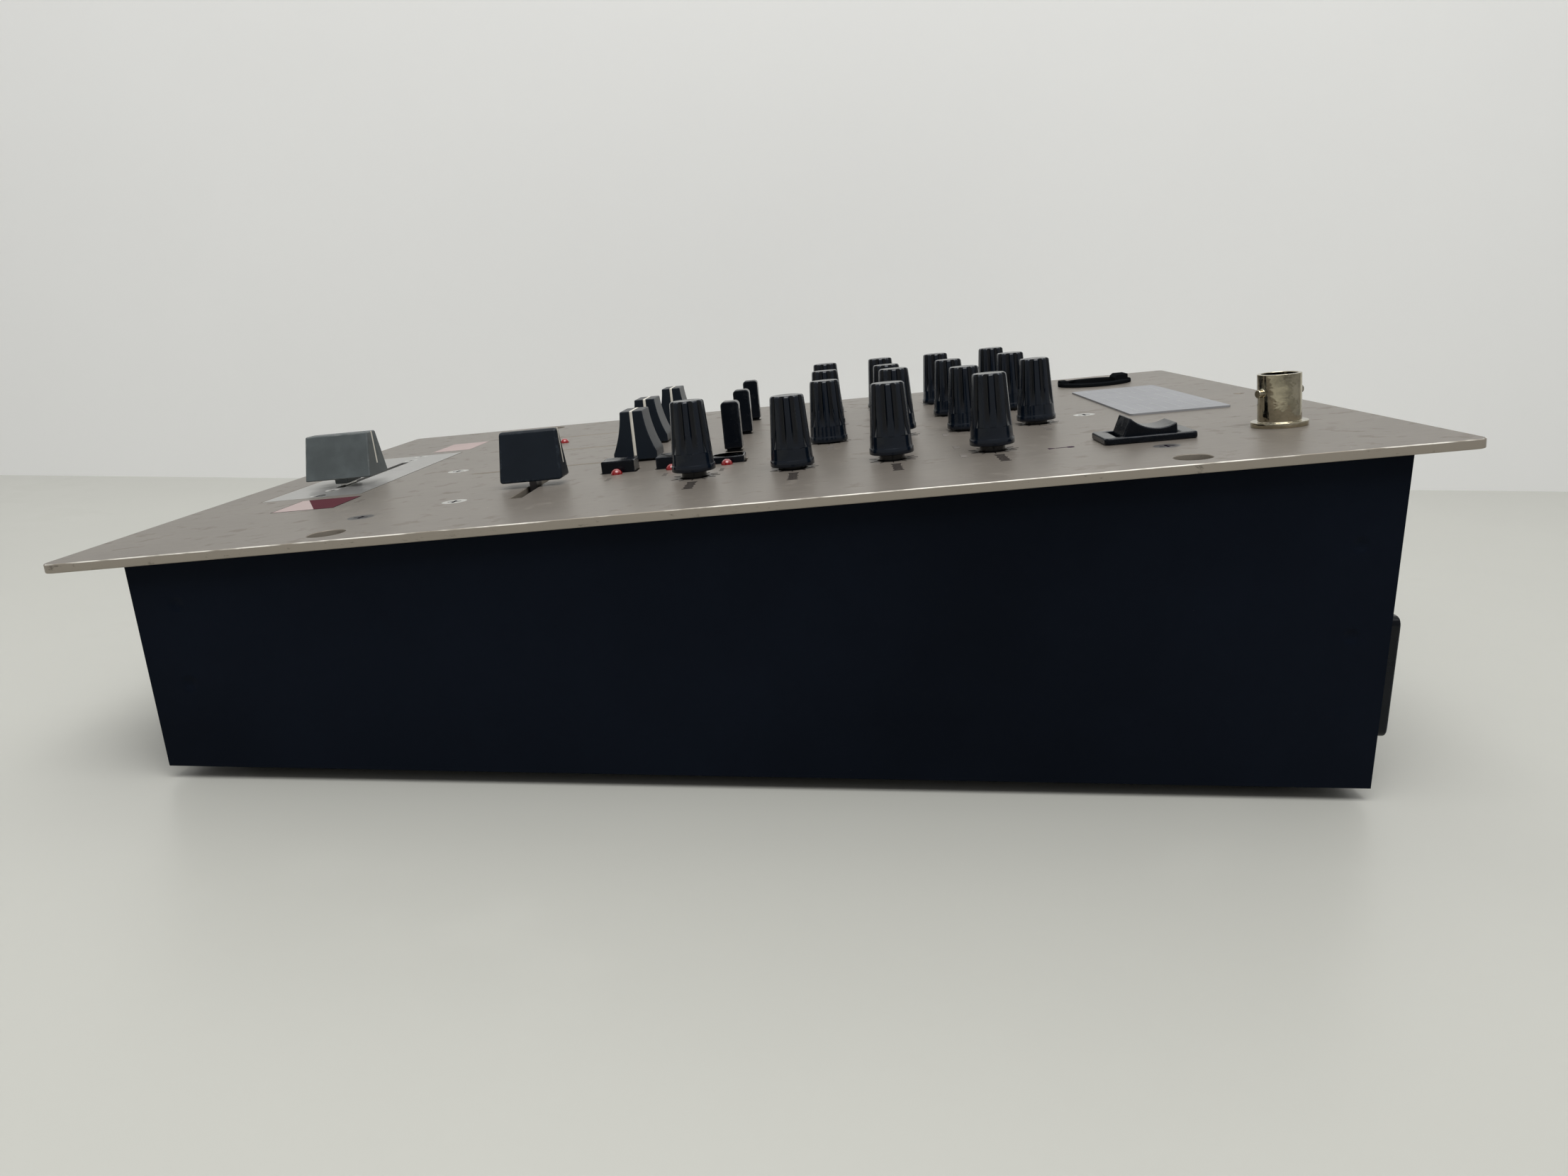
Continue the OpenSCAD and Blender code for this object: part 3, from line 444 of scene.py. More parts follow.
# ---- Finishes ----
@dataclass(frozen=True)
class Finish:
    """A finish of one material: colour, gloss, drift of tone, dust, edges lightened as wear and a painted
    highlight, painted shade in marked hollows and the skin's relief.
    """

    name: str
    colour: Colour
    roughness: float = 0.45
    metallic: float = 0.0
    specular: float = 0.5
    coat: float = 0.0
    coat_roughness: float = 0.2
    drift: float = 0.15
    drift_scale: float = 25.0
    rub: float = 0.12
    skin_scale: float = 2500.0
    skin_depth: float = 0.00002
    # Colour that edges are lightened towards, as wear and a painted highlight.
    edge_colour: Colour = (0.1, 0.1, 0.1)
    edge_wear: float = 0.0
    edge_scale: float = 350.0
    # How far painted shade darkens the faces marked groove towards black.
    groove: float = 0.0
    dust: float = 0.0
    dust_colour: Colour = (0.5, 0.5, 0.48)
    dust_cells: float = 150.0
    dust_size: float = 0.1

    def material(self) -> bpy.types.Material:
        """Makes the material once, and gives it again whenever it is asked for."""
        found = bpy.data.materials.get(self.name)
        if found:
            return found
        made = bpy.data.materials.new(self.name)
        made.use_nodes = True
        made.node_tree.nodes.clear()
        wiring = Wiring(made.node_tree)
        shader = wiring.add(
            "ShaderNodeBsdfPrincipled",
            {"Metallic": self.metallic, "Specular IOR Level": self.specular, "Coat Weight": self.coat},
        )
        shader.inputs["Coat Roughness"].default_value = self.coat_roughness
        place = wiring.add("ShaderNodeTexCoord").outputs["Object"]
        colour, gloss, height = self.surface(wiring, place)
        bump = {"Height": height, "Distance": self.skin_depth, "Strength": 1.0}
        wiring.feed(shader.inputs["Base Color"], colour)
        wiring.feed(shader.inputs["Roughness"], gloss)
        wiring.feed(shader.inputs["Normal"], wiring.out("ShaderNodeBump", bump))
        self.finish_shader(wiring, shader)
        wiring.add("ShaderNodeOutputMaterial", {"Surface": shader.outputs[0]})
        return made

    def finish_shader(self, wiring: Wiring, shader: bpy.types.Node) -> None:
        """Sets what only one kind of finish needs on the shader itself."""

    def tone(self, share: float) -> Colour:
        """Gives the finish's colour, darker or lighter by a share."""
        return tuple(level * share for level in self.colour)

    def surface(self, wiring: Wiring, place: Any) -> tuple[Any, Any, Any]:
        """Builds the colour, the roughness and the height.

        Args:
            wiring: The material's wiring.
            place: The piece's own coordinates.

        Returns:
            The sockets for colour, roughness and height.
        """
        clouds = group(wiring, soft_clouds(), Place=place, Scale=self.drift_scale)
        colour = wiring.blend(clouds["Drift"], self.tone(1 - self.drift), self.tone(1 + self.drift))
        low, high = max(0.02, self.roughness - self.rub), min(1.0, self.roughness + self.rub)
        gloss = wiring.ramp(clouds["Smudge"], 0.0, 1.0, low, high)
        # Worn edges and painted edge highlight: faces marked edge are lightened towards the edge colour in
        # patches.
        if self.edge_wear:
            inputs = {"Edge": wiring.marked("edge"), "Scale": self.edge_scale, "Amount": self.edge_wear}
            worn_and_highlit = group(wiring, worn_edges(), Place=place, **inputs)
            colour = wiring.blend(worn_and_highlit["Mask"], colour, self.edge_colour)
        # Painted shade: faces marked groove (the knobs' flute hollows and the shafts under them) are darkened
        # towards black.
        if self.groove:
            colour = wiring.blend(wiring.times(wiring.marked("groove"), self.groove), colour, (0.0, 0.0, 0.0))
        if self.dust:
            specks = group(wiring, dust_specks(), Place=place, Cells=self.dust_cells, Size=self.dust_size)
            colour = wiring.blend(wiring.times(specks["Mask"], self.dust), colour, self.dust_colour)
        skin = group(wiring, moulded_skin(), Place=place, Scale=self.skin_scale)
        return colour, gloss, skin["Height"]


@dataclass(frozen=True)
class BrushedFinish(Finish):
    """Metal brushed from front to rear, with its cut edge paler and a little chipped, and a painted highlight
    along its top rim.
    """

    lines: float = 1500.0
    streak: float = 0.08
    anisotropy: float = 0.0
    cut_colour: Colour = (0.4, 0.38, 0.34)
    # Colour of the painted highlight along the plate's top rim.
    rim_colour: Colour = paint(240, 236, 226)
    light_streak: float = 1.5
    dark_streak: float = 0.55
    chip_shade: float = 0.5
    cut_share: float = 0.85
    skin_share: float = 0.15

    @staticmethod
    def flecks(
        wiring: Wiring, place: Any, length: float, scale: float, rough: float, reach: Point
    ) -> Socket:
        """Gives a mask of flecks, stretched front to rear.

        Args:
            wiring: The material's wiring.
            place: The piece's own coordinates.
            length: How fine the pattern is along the brushing, as a share of how fine it is across.
            scale: The pattern's scale.
            rough: How broken its outlines are.
            reach: The noise at which a fleck begins and at which it is full.

        Returns:
            The mask.
        """
        noise = wiring.noise(wiring.stretch(place, (1.0, length, 1.0)), scale, detail=4.0, rough=rough)
        return wiring.ramp(noise, *reach)

    def surface(self, wiring: Wiring, place: Any) -> tuple[Any, Any, Any]:
        """Adds the brushed lines, the cut edge and a painted highlight along the top rim to the plain
        surface.

        Args:
            wiring: The material's wiring.
            place: The piece's own coordinates.

        Returns:
            The sockets for colour, roughness and height.
        """
        colour, gloss, skin = super().surface(wiring, place)
        lines = group(wiring, brushed_lines(), Place=place, Lines=self.lines)
        share = wiring.ramp(lines["Streak"], 0.0, 1.0, 0.0, self.streak)
        dull = wiring.ramp(lines["Streak"], 0.0, 1.0, self.streak, 0.0)
        colour = wiring.blend(share, colour, self.tone(self.light_streak))
        colour = wiring.blend(dull, colour, self.tone(self.dark_streak))
        chips = self.flecks(wiring, place, length=0.35, scale=900.0, rough=0.7, reach=(0.6, 0.72))
        dark = tuple(level * self.chip_shade for level in self.cut_colour)
        cut = wiring.blend(chips, self.cut_colour, dark)
        colour = wiring.blend(wiring.times(wiring.marked("edge"), self.cut_share), colour, cut)
        # Painted highlight: faces marked rim are lightened towards the rim highlight colour, broken up by
        # flecks.
        worn_and_highlit = self.flecks(wiring, place, length=0.2, scale=260.0, rough=0.65, reach=(0.4, 0.56))
        colour = wiring.blend(wiring.times(wiring.marked("rim"), worn_and_highlit), colour, self.rim_colour)
        return colour, gloss, wiring.plus(lines["Height"], wiring.times(skin, self.skin_share))

    def finish_shader(self, wiring: Wiring, shader: bpy.types.Node) -> None:
        """Stretches the gloss across the brushing."""
        if self.anisotropy:
            shader.inputs["Anisotropic"].default_value = self.anisotropy
            tangent = wiring.add("ShaderNodeTangent", direction_type="UV_MAP", uv_map="plate")
            wiring.feed(shader.inputs["Tangent"], tangent.outputs[0])


@dataclass(frozen=True)
class Ink(Finish):
    """The flat, unglossed finish of a printed mark."""

    roughness: float = 0.5
    specular: float = 0.0
    skin_depth: float = 0.000004


TOP_PLATE = BrushedFinish(
    "warm_grey_brushed_plate", paint(117, 111, 104), roughness=0.44, metallic=0.24, specular=0.1, drift=0.05,
    drift_scale=30.0, rub=0.08, skin_scale=900.0, skin_depth=0.000014, lines=1700.0, streak=0.12,
    anisotropy=0.5, cut_colour=paint(158, 150, 138), dust=0.5, dust_colour=paint(205, 200, 190),
    dust_cells=220.0, dust_size=0.07,
)
LIGHT_PLATE = BrushedFinish(
    "pale_brushed_fader_plate", paint(168, 167, 165), roughness=0.36, metallic=0.7, specular=0.4, drift=0.04,
    drift_scale=14.0, rub=0.06, skin_scale=900.0, skin_depth=0.00001, lines=1900.0, streak=0.1,
)
LABEL = Finish(
    "pale_blue_grey_label", paint(149, 150, 152), roughness=0.6, specular=0.0, drift=0.05, skin_depth=0.000006
)
CASE_PAINT = Finish(
    "blue_black_case_paint", paint(13, 18, 27), roughness=0.4, specular=0.035, drift=0.25, drift_scale=7.0,
    rub=0.07, skin_scale=1500.0, skin_depth=0.00001, edge_colour=paint(58, 62, 66), edge_wear=0.35,
    edge_scale=200.0, dust=1.0, dust_colour=paint(190, 190, 184), dust_cells=110.0, dust_size=0.11,
)
RUBBER = Finish("black_foot_rubber", paint(18, 18, 18), roughness=0.85, specular=0.3, skin_depth=0.00005)
BLACK_STEEL = Finish(
    "blackened_screw_steel", paint(84, 82, 84), roughness=0.4, metallic=0.7, skin_depth=0.000008
)
ZINC = Finish(
    "bright_zinc_steel", paint(205, 205, 200), roughness=0.2, metallic=1.0, drift=0.06, skin_depth=0.000006
)
POT_CASE = Finish("drab_green_pot_case", paint(66, 82, 62), roughness=0.5, skin_depth=0.00001)
FADER_CASE = Finish("dark_fader_case", paint(30, 31, 33), roughness=0.5, specular=0.2, skin_depth=0.000008)
SWITCH_CASE = Finish("grey_switch_case", paint(52, 52, 54), roughness=0.5, skin_depth=0.00001)
LED = Finish(
    "clear_red_lens", paint(138, 4, 10), roughness=0.06, coat=1.0, drift=0.12, rub=0.04, skin_depth=0.0
)
BLACK_PLASTIC = Finish(
    "matt_black_plastic", paint(8, 13, 20), roughness=0.32, specular=0.22, drift=0.15, drift_scale=60.0,
    skin_scale=3000.0, edge_colour=paint(44, 48, 54), edge_wear=0.35, edge_scale=500.0, dust=0.5,
    dust_colour=paint(110, 110, 106), dust_cells=700.0, dust_size=0.08,
)
KNOB_PLASTIC = Finish(
    "blue_black_knob_plastic", paint(8, 17, 28), roughness=0.22, specular=0.45, drift=0.15, drift_scale=80.0,
    rub=0.06, skin_scale=3500.0, skin_depth=0.000006, edge_colour=paint(58, 64, 70), edge_wear=0.3,
    edge_scale=900.0, groove=0.8, dust=0.6, dust_colour=paint(120, 120, 116), dust_cells=600.0,
    dust_size=0.08,
)
CAP_PLASTIC = Finish(
    "blue_black_cap_plastic", paint(24, 30, 37), roughness=0.36, specular=0.16, drift=0.12, drift_scale=70.0,
    rub=0.02, skin_scale=3500.0, skin_depth=0.000006, edge_colour=paint(50, 57, 64), edge_wear=0.3,
    edge_scale=900.0, dust=0.5, dust_colour=paint(110, 112, 110), dust_cells=600.0, dust_size=0.08,
)
WORN_CAP = Finish(
    "dusty_worn_cap", paint(75, 82, 83), roughness=0.6, drift=0.22, drift_scale=70.0, skin_scale=2600.0,
    edge_colour=paint(98, 102, 101), edge_wear=0.4, edge_scale=300.0, dust=0.5,
    dust_colour=paint(150, 152, 150), dust_cells=700.0, dust_size=0.1,
)
NICKEL = Finish(
    "warm_nickel", paint(176, 168, 146), roughness=0.16, metallic=1.0, drift=0.3, drift_scale=160.0, rub=0.08,
    skin_scale=420.0, skin_depth=0.00012, edge_colour=paint(214, 208, 190), edge_wear=0.4,
)
INSULATOR = Finish("ivory_insulator", paint(214, 206, 186), roughness=0.5, skin_depth=0.00001)
SOCKET_BLACK = Finish(
    "matt_socket_black", paint(22, 24, 26), roughness=0.5, specular=0.0, drift=0.12,
    edge_colour=paint(48, 50, 52), edge_wear=0.2, skin_depth=0.000012,
)
PHONO = Finish(
    "tinned_phono_metal", paint(196, 190, 172), roughness=0.26, metallic=1.0, skin_depth=0.00001
)
BOARD = Finish("green_circuit_board", paint(44, 92, 52), roughness=0.4, coat=0.4, skin_depth=0.000015)
CORE = Finish("laminated_core_steel", paint(96, 96, 98), roughness=0.45, metallic=0.7, skin_depth=0.00002)
COPPER = Finish("enamelled_copper", paint(186, 116, 58), roughness=0.35, metallic=0.8, skin_depth=0.00003)
LINE_WHITE = Finish(
    "cream_line_paint", paint(216, 212, 200), roughness=0.5, drift=0.08, drift_scale=200.0,
    skin_depth=0.000008,
)
# Painted shade: dark ink laid in the screws' cross recesses.
RECESS_SHADE = Ink("painted_screw_recess_shade", paint(20, 16, 24), roughness=0.7)
PRINT_DARK = Ink("dark_grey_print", paint(34, 31, 33), drift=0.2, drift_scale=300.0)
PRINT_GREY = Ink("mid_grey_print", paint(112, 108, 104), drift_scale=300.0)
PRINT_PINK = Ink("faded_pink_print", paint(172, 158, 155), roughness=0.45, drift=0.05)
PRINT_MAROON = Ink("dull_maroon_print", paint(86, 52, 58), roughness=0.42, drift=0.12)
PRINT_PURPLE = Ink("dark_purple_print", paint(60, 46, 62), drift_scale=300.0)
PRINT_PALE = Ink("pale_grey_print", paint(166, 167, 168), drift=0.05)


# ---- Shapes ----
def soften(
    node: str, name: str, place: Matrix, width: float, segments: int = 3, crisp: Sequence[Spot] = ()
) -> bpy.types.Object:
    """Copies a solid, joins its loose triangles and rounds its sharp edges.

    Args:
        node: The solid to copy.
        name: The new piece's name.
        place: Where the piece's own millimetres stand in the mixer.
        width: Width of the rounding, in millimetres.
        segments: Faces across the rounding.
        crisp: Circles, each its middle and its radius, inside which edges stay as they are.

    Returns:
        The piece, with a face attribute "edge" that is 1 on what was rounded.
    """
    least = math.radians(28.0)
    shape = bmesh.new()
    shape.from_mesh(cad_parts[node].data)
    bmesh.ops.transform(shape, matrix=place.inverted(), verts=shape.verts)
    bmesh.ops.remove_doubles(shape, verts=shape.verts, dist=0.0005)
    bmesh.ops.dissolve_limit(shape, angle_limit=math.radians(0.5), verts=shape.verts, edges=shape.edges)
    sharp = [e for e in shape.edges if e.is_manifold and e.calc_face_angle(0.0) > least]
    sharp = [e for e in sharp if all(math.dist(e.verts[0].co.xy, spot[:2]) > spot[2] for spot in crisp)]
    layer = shape.faces.layers.float.new("edge")
    rounded = bmesh.ops.bevel(
        shape, geom=sharp, offset=width, offset_type="OFFSET", segments=segments, profile=0.5, affect="EDGES",
        clamp_overlap=False, loop_slide=True,
    )
    for face in rounded["faces"]:
        face[layer] = 1.0
    return closed_piece(shape, name, place)


def mould(
    node: str, body: str, place: Matrix, width: float, finish: Finish, slot: str, ending: str = "moulded"
) -> None:
    """Softens one solid's edges, puts its finish on and settles it on its body.

    Args:
        node: The solid that the piece stands for.
        body: The body that it moves with.
        place: Where its own millimetres stand.
        width: Width of the rounding, in millimetres.
        finish: Its finish.
        slot: The name of a finish slot, passed on to settle.
        ending: What its name adds to the solid's.
    """
    settle(soften(node, numbered(node, ending), place, width), body, slot, [node], finish)


def closed_piece(
    shape: bmesh.types.BMesh, name: str, place: Matrix, sharp_angle: float = 50.0
) -> bpy.types.Object:
    """Turns a shape in its own millimetres into a smooth-shaded object at the origin.

    Args:
        shape: The shape, which is freed.
        name: The object's name.
        place: Where the shape stands.
        sharp_angle: Edges sharper than this, in degrees, stay crisp.

    Returns:
        The object.
    """
    for face in shape.faces:
        face.smooth = True
    for edge in shape.edges:
        edge.smooth = not (edge.is_manifold and edge.calc_face_angle(0.0) > math.radians(sharp_angle))
    bmesh.ops.transform(shape, matrix=place, verts=shape.verts)
    mesh = bpy.data.meshes.new(name)
    shape.to_mesh(mesh)
    shape.free()
    made = new_object(name, mesh)
    even = made.modifiers.new("even_shading", "WEIGHTED_NORMAL")
    even.keep_sharp = True
    return made


def slab(outline: Sequence[Point], low: float, high: float) -> bmesh.types.BMesh:
    """Raises a flat outline into a slab.

    Args:
        outline: The outline's corners.
        low: Height of the slab's underside.
        high: Height of its top.

    Returns:
        The slab.
    """
    shape = bmesh.new()
    face = shape.faces.new([shape.verts.new((x, y, low)) for x, y in outline])
    for part in bmesh.ops.extrude_face_region(shape, geom=[face])["geom"]:
        if isinstance(part, bmesh.types.BMVert):
            part.co.z = high
    bmesh.ops.recalc_face_normals(shape, faces=shape.faces)
    return shape


def mesh_line(points: Iterable[Spot]) -> bpy.types.Mesh:
    """Makes a mesh of points joined into one line."""
    spots = list(points)
    mesh = bpy.data.meshes.new("line")
    mesh.from_pydata(spots, [(i, i + 1) for i in range(len(spots) - 1)], [])
    return mesh


def loose_points(points: Iterable[Spot]) -> bpy.types.Mesh:
    """Makes a mesh of points that nothing joins."""
    mesh = bpy.data.meshes.new("points")
    mesh.from_pydata(list(points), [], [])
    return mesh


# ---- Geometry recipes ----
@made_once
def recipe(name: str, inputs: Given, build: Build) -> Tree:
    """Makes one geometry tree that ends in Realize Instances and Set Material.

    Args:
        name: The tree's name.
        inputs: Each named input's resting value, besides the geometry and the finish.
        build: Returns the geometry it made.

    Returns:
        The tree.
    """
    tree = bpy.data.node_groups.new(name, "GeometryNodeTree")
    tree.interface.new_socket("Geometry", in_out="INPUT", socket_type="NodeSocketGeometry")
    declare(tree, inputs)
    tree.interface.new_socket("Finish", in_out="INPUT", socket_type="NodeSocketMaterial")
    tree.interface.new_socket("Geometry", in_out="OUTPUT", socket_type="NodeSocketGeometry")
    wiring = Wiring(tree)
    entry = wiring.add("NodeGroupInput")
    given = {label: entry.outputs[label] for label in ["Geometry", *inputs, "Finish"]}
    plain = wiring.out("GeometryNodeRealizeInstances", {0: build(wiring, given)})
    dressed = {"Geometry": plain, "Material": given["Finish"]}
    wiring.add("NodeGroupOutput", {0: wiring.out("GeometryNodeSetMaterial", dressed)})
    return tree


def grow(tree: Tree, base: bpy.types.Mesh, finish: Finish, **values: Any) -> bpy.types.Mesh:
    """Runs a geometry tree on a base mesh.

    Args:
        tree: The tree.
        base: The mesh that it starts from.
        finish: The finish it puts on.
        **values: Its named inputs, with spaces written as underscores.

    Returns:
        The plain mesh that it makes.
    """
    carrier = new_object("carrier", base)
    modifier = carrier.modifiers.new("recipe", "NODES")
    modifier.node_group = tree
    sockets = {
        item.name: item.identifier for item in tree.interface.items_tree
        if item.item_type == "SOCKET" and item.in_out == "INPUT"
    }
    for label, value in values.items():
        modifier[sockets[label.replace("_", " ")]] = value
    modifier[sockets["Finish"]] = finish.material()
    graph = bpy.context.evaluated_depsgraph_get()
    grown = carrier.evaluated_get(graph)
    mesh = bpy.data.meshes.new_from_object(grown, preserve_all_data_layers=True, depsgraph=graph)
    carrier.modifiers.remove(modifier)
    bpy.data.objects.remove(carrier)
    return mesh


def grown_piece(mesh: bpy.types.Mesh, name: str, place: Matrix) -> bpy.types.Object:
    """Stands a grown mesh in its place, with its faces pointing outwards.

    Args:
        mesh: The mesh, in the piece's own millimetres.
        name: The piece's name.
        place: Where it stands.

    Returns:
        The piece.
    """
    shape = bmesh.new()
    shape.from_mesh(mesh)
    bmesh.ops.recalc_face_normals(shape, faces=shape.faces)
    bmesh.ops.transform(shape, matrix=place, verts=shape.verts)
    made = bpy.data.meshes.new(name)
    shape.to_mesh(made)
    shape.free()
    for material in mesh.materials:
        made.materials.append(material)
    return new_object(name, made)


@recipe({
    "Flutes": 10, "Steps per Flute": 14, "Flute Radius": 0.75, "Flute Depth": 0.55, "Flute Foot": 4.0,
    "Body Radius": 5.05, "Ring Height": 1.6, "Lean": 0.066, "Rim Height": 16.0, "Rim Radius": 3.2,
    "Shaft Radius": 3.0, "Shaft Foot": -9.0, "Shaft Top": 1.0,
})
def fluted_knob(wiring: Wiring, given: Given) -> Socket:
    """Spins a knob's section round its shaft: a grid is mapped on to it and drawn in where a flute runs."""
    base, flutes = given["Geometry"], given["Flutes"]
    size = wiring.out("GeometryNodeAttributeDomainSize", {0: base}, component="MESH")
    steps = wiring.times(flutes, given["Steps per Flute"])
    inputs = {"Vertices X": wiring.plus(steps, 1.0), "Vertices Y": size}
    grid = wiring.out("GeometryNodeMeshGrid", inputs)
    index = wiring.out("GeometryNodeInputIndex")
    column = wiring.sum("FLOOR", wiring.over(index, size))
    position = wiring.out("GeometryNodeInputPosition")
    inputs = {0: base, "Value": position, "Index": wiring.minus(index, wiring.times(column, size))}
    sample = wiring.add("GeometryNodeSampleIndex", inputs, data_type="FLOAT_VECTOR", domain="POINT")
    section = wiring.add("ShaderNodeSeparateXYZ", {0: sample.outputs[0]}).outputs
    radius, height = section[0], section[2]
    share = wiring.over(column, steps)
    angle = wiring.times(share, math.tau)
    phase = wiring.minus(wiring.sum("FRACT", wiring.times(share, flutes)), 0.5)
    arc = wiring.times(wiring.over(wiring.times(phase, math.tau), flutes), radius)
    curve = given["Flute Radius"]
    inside = wiring.minus(wiring.times(curve, curve), wiring.times(arc, arc))
    bow = wiring.sum("SQRT", wiring.sum("MAXIMUM", inside, 0.0))
    hollow = wiring.sum("MAXIMUM", wiring.plus(wiring.minus(given["Flute Depth"], curve), bow), 0.0)
    drop = wiring.times(wiring.minus(height, given["Ring Height"]), given["Lean"])
    floor = wiring.minus(wiring.minus(given["Body Radius"], drop), hollow)
    spare = wiring.sum("MAXIMUM", wiring.minus(radius, floor), 0.0)
    cut = wiring.times(wiring.above(height, given["Flute Foot"]), spare)
    drawn = wiring.minus(radius, cut)
    across = wiring.times(drawn, wiring.sum("COSINE", angle))
    ahead = wiring.times(drawn, wiring.sum("SINE", angle))
    inputs = {"Geometry": grid, "Position": wiring.spot(across, ahead, height)}
    spun = wiring.out("GeometryNodeSetPosition", inputs)
    # The knob's top rim is marked as an edge, which the knob plastic lightens as wear and a painted
    # highlight.
    high, wide = wiring.above(height, given["Rim Height"]), wiring.above(radius, given["Rim Radius"])
    rimmed = wiring.mark(spun, "edge", wiring.times(high, wide))
    # The flute hollows are marked for painted shade, more where the cut is deeper.
    inputs = {"Geometry": wiring.mark(rimmed, "groove", wiring.ramp(cut, 0.08, 0.4)), "Distance": 0.003}
    knit = wiring.out("GeometryNodeMergeByDistance", inputs)
    top, foot = given["Shaft Top"], given["Shaft Foot"]
    post = wiring.post(40, given["Shaft Radius"], wiring.minus(top, foot))
    shaft = wiring.shift(post, Translation=wiring.spot(z=wiring.times(wiring.plus(top, foot), 0.5)))
    # The shaft under the knob is marked for full painted shade.
    smooth = wiring.smooth(wiring.join(knit, wiring.mark(shaft, "groove", 1.0)))
    bend = wiring.add("GeometryNodeInputMeshEdgeAngle").outputs["Unsigned Angle"]
    inputs = {"Geometry": smooth, "Selection": wiring.above(bend, 0.75), "Shade Smooth": False}
    return wiring.out("GeometryNodeSetShadeSmooth", inputs, domain="EDGE")


@recipe({"Width": 0.8, "Thickness": 0.12, "Corner Radius": 0.4, "Across": (0.0, 1.0, 0.0)})
def inlaid_line(wiring: Wiring, given: Given) -> Socket:
    """Lays a flat painted line along a path with rounded corners, its width across the path's plane."""
    path = wiring.out("GeometryNodeMeshToCurve", {0: given["Geometry"]})
    inputs = {"Curve": path, "Radius": given["Corner Radius"], "Count": 5}
    bent = wiring.out("GeometryNodeFilletCurve", inputs, mode="POLY")
    inputs = {"Curve": bent, "Normal": given["Across"]}
    turned = wiring.out("GeometryNodeSetCurveNormal", inputs, mode="FREE")
    inputs = {"Width": given["Width"], "Height": given["Thickness"]}
    bar = wiring.out("GeometryNodeCurvePrimitiveQuadrilateral", inputs)
    inputs = {"Curve": turned, "Profile Curve": bar, "Fill Caps": True}
    return wiring.out("GeometryNodeCurveToMesh", inputs)


@recipe({
    "Ticks": 11, "Sweep": math.radians(300), "Radius": 5.25, "Tick Width": 0.25, "Tick Length": 1.8,
    "Ink": 0.05,
})
def dial_marks(wiring: Wiring, given: Given) -> Socket:
    """Prints a ring of short ticks through the scale's angle round each of a set of knob centres."""
    index = wiring.out("GeometryNodeInputIndex")
    share = wiring.minus(wiring.over(index, wiring.minus(given["Ticks"], 1.0)), 0.5)
    angle = wiring.times(share, given["Sweep"])
    across = wiring.times(given["Radius"], wiring.sum("SINE", angle))
    ahead = wiring.times(given["Radius"], wiring.sum("COSINE", angle))
    ring = wiring.row(given["Ticks"], wiring.spot(across, ahead))
    tick = wiring.box(given["Tick Width"], given["Tick Length"], given["Ink"])
    ticks = wiring.stand(ring, tick, Rotation=wiring.spot(z=wiring.times(angle, -1.0)))
    return wiring.stand(given["Geometry"], ticks)


@recipe({"Radius": 1.5, "Rise": -0.1, "Stem": 9.0})
def domed_lens(wiring: Wiring, given: Given) -> Socket:
    """Sets a small domed lens on a stem at each of a set of places."""
    inputs = {"Segments": 24, "Rings": 16, "Radius": given["Radius"]}
    ball = wiring.out("GeometryNodeMeshUVSphere", inputs)
    dome = wiring.shift(ball, Translation=wiring.spot(z=given["Rise"]))
    stem = wiring.post(24, wiring.times(given["Radius"], 0.97), given["Stem"])
    drop = wiring.minus(given["Rise"], wiring.times(given["Stem"], 0.5))
    lens = wiring.join(dome, wiring.shift(stem, Translation=wiring.spot(z=drop)))
    return wiring.stand(given["Geometry"], wiring.smooth(lens))


@recipe({"Span": 3.3, "Slot": 0.75, "Ink": 0.06})
def cross_recess(wiring: Wiring, given: Given) -> Socket:
    """Paints shade into the cross recess of each of a set of screw heads as two crossed flat dark bars."""
    bar = wiring.box(given["Span"], given["Slot"], given["Ink"])
    other = wiring.shift(bar, Rotation=wiring.spot(z=math.pi / 2))
    return wiring.stand(given["Geometry"], wiring.join(bar, other))


@recipe({"Strokes": 7, "Length": 6.0, "Height": 1.4, "Ink": 0.05, "Boldness": 0.42, "Seed": SEED})
def legend_strokes(wiring: Wiring, given: Given) -> Socket:
    """Prints a row of small strokes of uneven height, in a word's stead, at each of a set of places."""
    index = wiring.out("GeometryNodeInputIndex")
    step = wiring.over(given["Length"], given["Strokes"])
    along = wiring.times(wiring.minus(index, wiring.times(given["Strokes"], 0.5)), step)
    row = wiring.row(given["Strokes"], wiring.spot(along))
    tall = wiring.ramp(wiring.chance(given["Seed"]), 0.0, 1.0, 0.75, 1.0)
    stroke = wiring.box(wiring.times(step, given["Boldness"]), given["Height"], given["Ink"])
    word = wiring.stand(row, stroke, Scale=wiring.spot(1.0, tall, 1.0))
    return wiring.stand(given["Geometry"], word)


